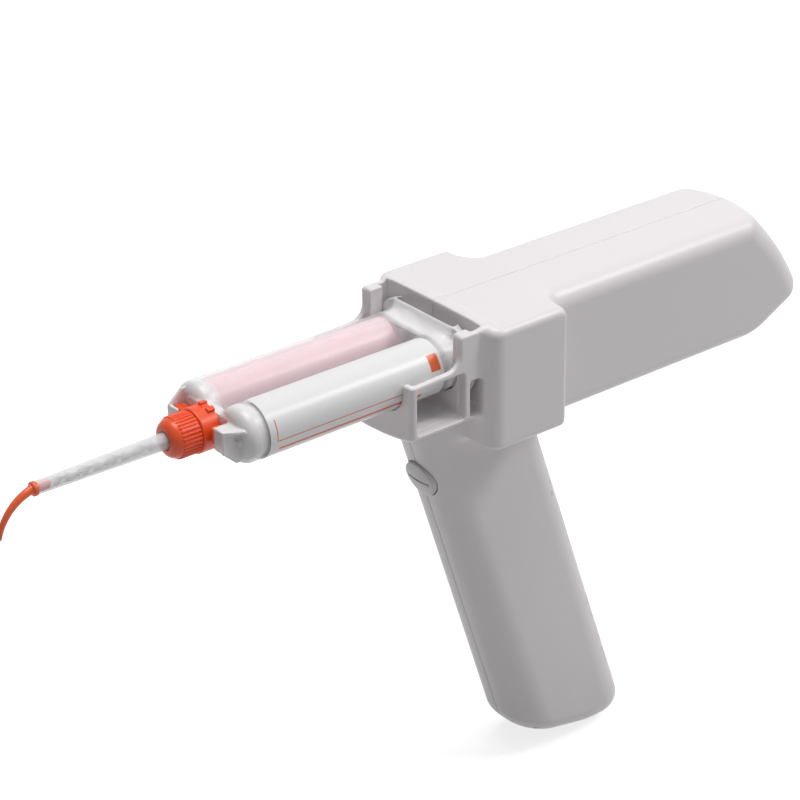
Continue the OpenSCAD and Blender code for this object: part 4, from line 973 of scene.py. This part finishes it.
# Mixing tube
# A long tapering tube of clear, slightly milky plastic, with a wide base under the collar.
# The base seats on the cartridge's boss, and the two pastes meet inside.
TUBE_BACK = -107.3
TUBE_BASE_R = 6.55
TUBE_R0 = 3.2
TUBE_R1 = 2.4
TUBE_WALL = 0.6
TUBE_TIP = -173.0
outline = [(TUBE_BACK, 5.3), (TUBE_BACK, TUBE_BASE_R - 0.3), (TUBE_BACK - 0.3, TUBE_BASE_R),
           (-110.4, TUBE_BASE_R), (-110.7, TUBE_BASE_R - 0.3), (-110.7, TUBE_R0 + 0.25), (-110.9, TUBE_R0),
           (-120.0, TUBE_R0), (-121.2, TUBE_R0 - 0.02), (-145.0, (TUBE_R0 + TUBE_R1) / 2)]
outline += arc(TUBE_TIP + 0.25, TUBE_R1 - 0.25, 0.25, 90, 180, 4)
outline += [(TUBE_TIP, TUBE_R1 - TUBE_WALL), (-145.0, (TUBE_R0 + TUBE_R1) / 2 - TUBE_WALL),
            (-120.0, TUBE_R0 - TUBE_WALL), (-109.8, TUBE_R0 - TUBE_WALL), (-109.6, 5.1),
            (TUBE_BACK - 0.2, 5.1)]
tube = lathe("mixing_tube_wall", outline)
clear_plastic = milky("Clear milky plastic", (0.93, 0.93, 0.94), 0.2, clear=0.30, dense=0.72, streak=0.08)
install(tube, "gun", clear_plastic, "tube", "mixing_tube")

# Mixer
# Ten helical blades in a row inside the tube, turned left and right by turns.
# Each splits and folds the pastes, and all are moulded in one piece of acetal.
MIXER_R = 1.63
BLADES = 10
MIXER_FRONT = -167.0
MIXER_BACK = -110.3
blade_pitch = (MIXER_BACK - MIXER_FRONT) / BLADES
BLADE_T = 0.55
steps = 20
spread = math.sqrt(MIXER_R ** 2 - (BLADE_T / 2) ** 2)
section = ((spread, BLADE_T / 2), (MIXER_R, 0), (spread, -BLADE_T / 2),
           (-spread, -BLADE_T / 2), (-MIXER_R, 0), (-spread, BLADE_T / 2))
points, faces = [], []
for blade in range(BLADES):
    hand = 1 if blade % 2 == 0 else -1
    start = len(points)
    for i in range(steps + 1):
        q = hand * math.pi * i / steps + blade * math.pi / 2
        x = MIXER_FRONT + (blade + i / steps) * blade_pitch
        for v, w in section:
            points.append((x, v * math.cos(q) - w * math.sin(q), v * math.sin(q) + w * math.cos(q)))
    for i in range(steps):
        for k in range(6):
            a, b = start + i * 6 + k, start + i * 6 + (k + 1) % 6
            faces.append((a, b, b + 6, a + 6))
    faces.append(tuple(start + k for k in range(5, -1, -1)))
    faces.append(tuple(start + steps * 6 + k for k in range(6)))
mixer = mesh_piece("mixer_blades", points, faces)
crisp(mixer, 38)
acetal = moulded("Acetal", (0.78, 0.76, 0.73), 0.34, grain_mm=0.4)
install(mixer, "gun", acetal, "mixer", "mixer_element")

# Intraoral tip
# A thin orange spout that plugs into the tube's end and turns there by hand.
# It bends down in one arc and narrows towards its open mouth.
PLUG_R = 1.74
PLUG_BACK = -168.0
RING_BACK = -173.1
RING_FRONT = -174.8
RING_R = 2.65
BEND_R = 19
SPOUT_R0 = 1.6
SPOUT_R1 = 0.95
outline = [(PLUG_BACK, 0.9), (PLUG_BACK, PLUG_R - 0.25), (PLUG_BACK - 0.25, PLUG_R), (RING_BACK, PLUG_R)]
outline += arc(RING_BACK - 0.3, RING_R - 0.3, 0.3, 0, 90, 4)
outline += arc(RING_FRONT + 0.45, RING_R - 0.45, 0.45, 90, 180, 5)
outline += [(RING_FRONT - 0.25, SPOUT_R0 + 0.12), (RING_FRONT - 0.9, SPOUT_R0 - 0.05),
            (RING_FRONT - 0.9, 0.9)]
plug = lathe("tip_plug", outline, sides=64)
points, faces = [], []
bend_steps, sides = 48, 32
BEND_START = math.radians(14)
BEND_END = math.radians(78)


def spout_place(t):
    """Centre and direction angle of the spout at t from 0 at its ring to 1 at its mouth."""
    q = BEND_START + (BEND_END - BEND_START) * t
    ahead = BEND_R * (math.sin(q) - math.sin(BEND_START))
    return RING_FRONT - ahead, BEND_R * (math.cos(q) - math.cos(BEND_START)), q


outer = [(i / bend_steps, SPOUT_R0 + (SPOUT_R1 - SPOUT_R0) * i / bend_steps) for i in range(bend_steps + 1)]
mouth = [(1 - 0.012 + 0.012 * math.sin(math.radians(a)), SPOUT_R1 - 0.16 + 0.16 * math.cos(math.radians(a)))
         for a in (30, 60, 90)]
outer = [(t, r) for t, r in outer if t < 0.985] + [(0.988, SPOUT_R1)] + mouth
bore = [(t, 0.56 * (SPOUT_R0 + (SPOUT_R1 - SPOUT_R0) * t)) for t, _ in outer[::-1]]
stations = outer + bore
for t, r in stations:
    cx, cz, q = spout_place(t)
    for k in range(sides):
        a = 2 * math.pi * k / sides
        out = r * math.sin(a)
        points.append((cx - out * math.sin(q), r * math.cos(a), cz + out * math.cos(q)))
for j in range(len(stations)):
    n = (j + 1) % len(stations)
    for k in range(sides):
        m = (k + 1) % sides
        faces.append((j * sides + k, j * sides + m, n * sides + m, n * sides + k))
spout = mesh_piece("tip_spout", points, faces)
crisp(spout, 180)
spout_orange = moulded("Spout orange", (0.93, 0.125, 0.022), 0.28, grain_mm=0.5, relief=0.1, clouding=0.06)
install(plug, "spout", spout_orange, "spout_orange", "intraoral_tip")
install(spout, "spout", spout_orange, "spout_orange", "intraoral_tip")

# Studio
# A pale floor under the grip's lowest edge, soft lamps above and beside, and the camera.
# The camera stands to the front left, above the gun, with a long lens.
floor_z = cad_box[0][2]
FLOOR_HALF = 6
FLOOR_LIFT = 0.75
FILL_LIGHT = 0.13


def in_view(tree):
    """1 for what the camera sees, straight, in a gloss or through clear plastic."""
    ray = add_node(tree, "ShaderNodeLightPath").outputs
    seen = reckon(tree, "MAXIMUM", ray["Is Camera Ray"], ray["Is Glossy Ray"])
    return reckon(tree, "MAXIMUM", seen, ray["Is Transmission Ray"])


floor_mesh = bpy.data.meshes.new("floor")
floor_mesh.from_pydata([(FLOOR_HALF * x, FLOOR_HALF * y, floor_z)
                        for x, y in ((-1, -1), (1, -1), (1, 1), (-1, 1))], [], [(0, 1, 2, 3)])
floor = bpy.data.objects.new("floor", floor_mesh)
bpy.context.scene.collection.objects.link(floor)
floor_finish, tree, shader, _ = new_finish("Pale floor")
shader.inputs["Base Color"].default_value = (0.60, 0.60, 0.60, 1)
shader.inputs["Roughness"].default_value = 0.9
shader.inputs["Specular IOR Level"].default_value = 0.1
shader.inputs["Emission Color"].default_value = (1, 1, 1, 1)
tree.links.new(reckon(tree, "MULTIPLY", in_view(tree), FLOOR_LIFT), shader.inputs["Emission Strength"])
wear(floor, floor_finish)

world = bpy.data.worlds.new("Studio")
bpy.context.scene.world = world
world.use_nodes = True
tree = world.node_tree
sky = tree.nodes["Background"]
sky.inputs["Color"].default_value = (1, 1, 1, 1)
tree.links.new(ramp(tree, in_view(tree), FILL_LIGHT, 1.0), sky.inputs["Strength"])


def lamp(name, place, aim, size, power):
    """A square soft lamp that looks at a point."""
    light = bpy.data.lights.new(name, "AREA")
    light.size = size
    light.energy = power
    holder = bpy.data.objects.new(name, light)
    holder.location = place
    holder.rotation_euler = (Vector(aim) - Vector(place)).to_track_quat("-Z", "Y").to_euler()
    bpy.context.scene.collection.objects.link(holder)


lamp("overhead", (0.0, 0.1, 1.6), (0, 0, 0), 1.0, 18.5)
lamp("shoulder", (0.95, -0.70, 1.15), (0.05, 0, 0), 0.45, 8)
lamp("side", (0.1, -1.1, 1.25), (0.05, 0, 0), 0.8, 1.5)

eye = Vector((-564.9, -688.1, 434.0)) * MM
heading, tilt, roll = math.radians(-38.59), math.radians(27.21), math.radians(-0.62)
right = Vector((math.cos(heading), math.sin(heading), 0))
upward = Vector((-math.sin(heading) * math.sin(tilt), math.cos(heading) * math.sin(tilt), math.cos(tilt)))
backward = Vector((math.sin(heading) * math.cos(tilt), -math.cos(heading) * math.cos(tilt), math.sin(tilt)))
rolled_right = math.cos(roll) * right + math.sin(roll) * upward
rolled_up = math.cos(roll) * upward - math.sin(roll) * right
lens = bpy.data.cameras.new("camera")
lens.lens = 119.5
lens.sensor_width = 36
camera = bpy.data.objects.new("camera", lens)
camera.matrix_world = Matrix((rolled_right, rolled_up, backward)).transposed().to_4x4()
camera.location = eye
bpy.context.scene.collection.objects.link(camera)
bpy.context.scene.camera = camera
bpy.context.scene.view_settings.view_transform = "Standard"
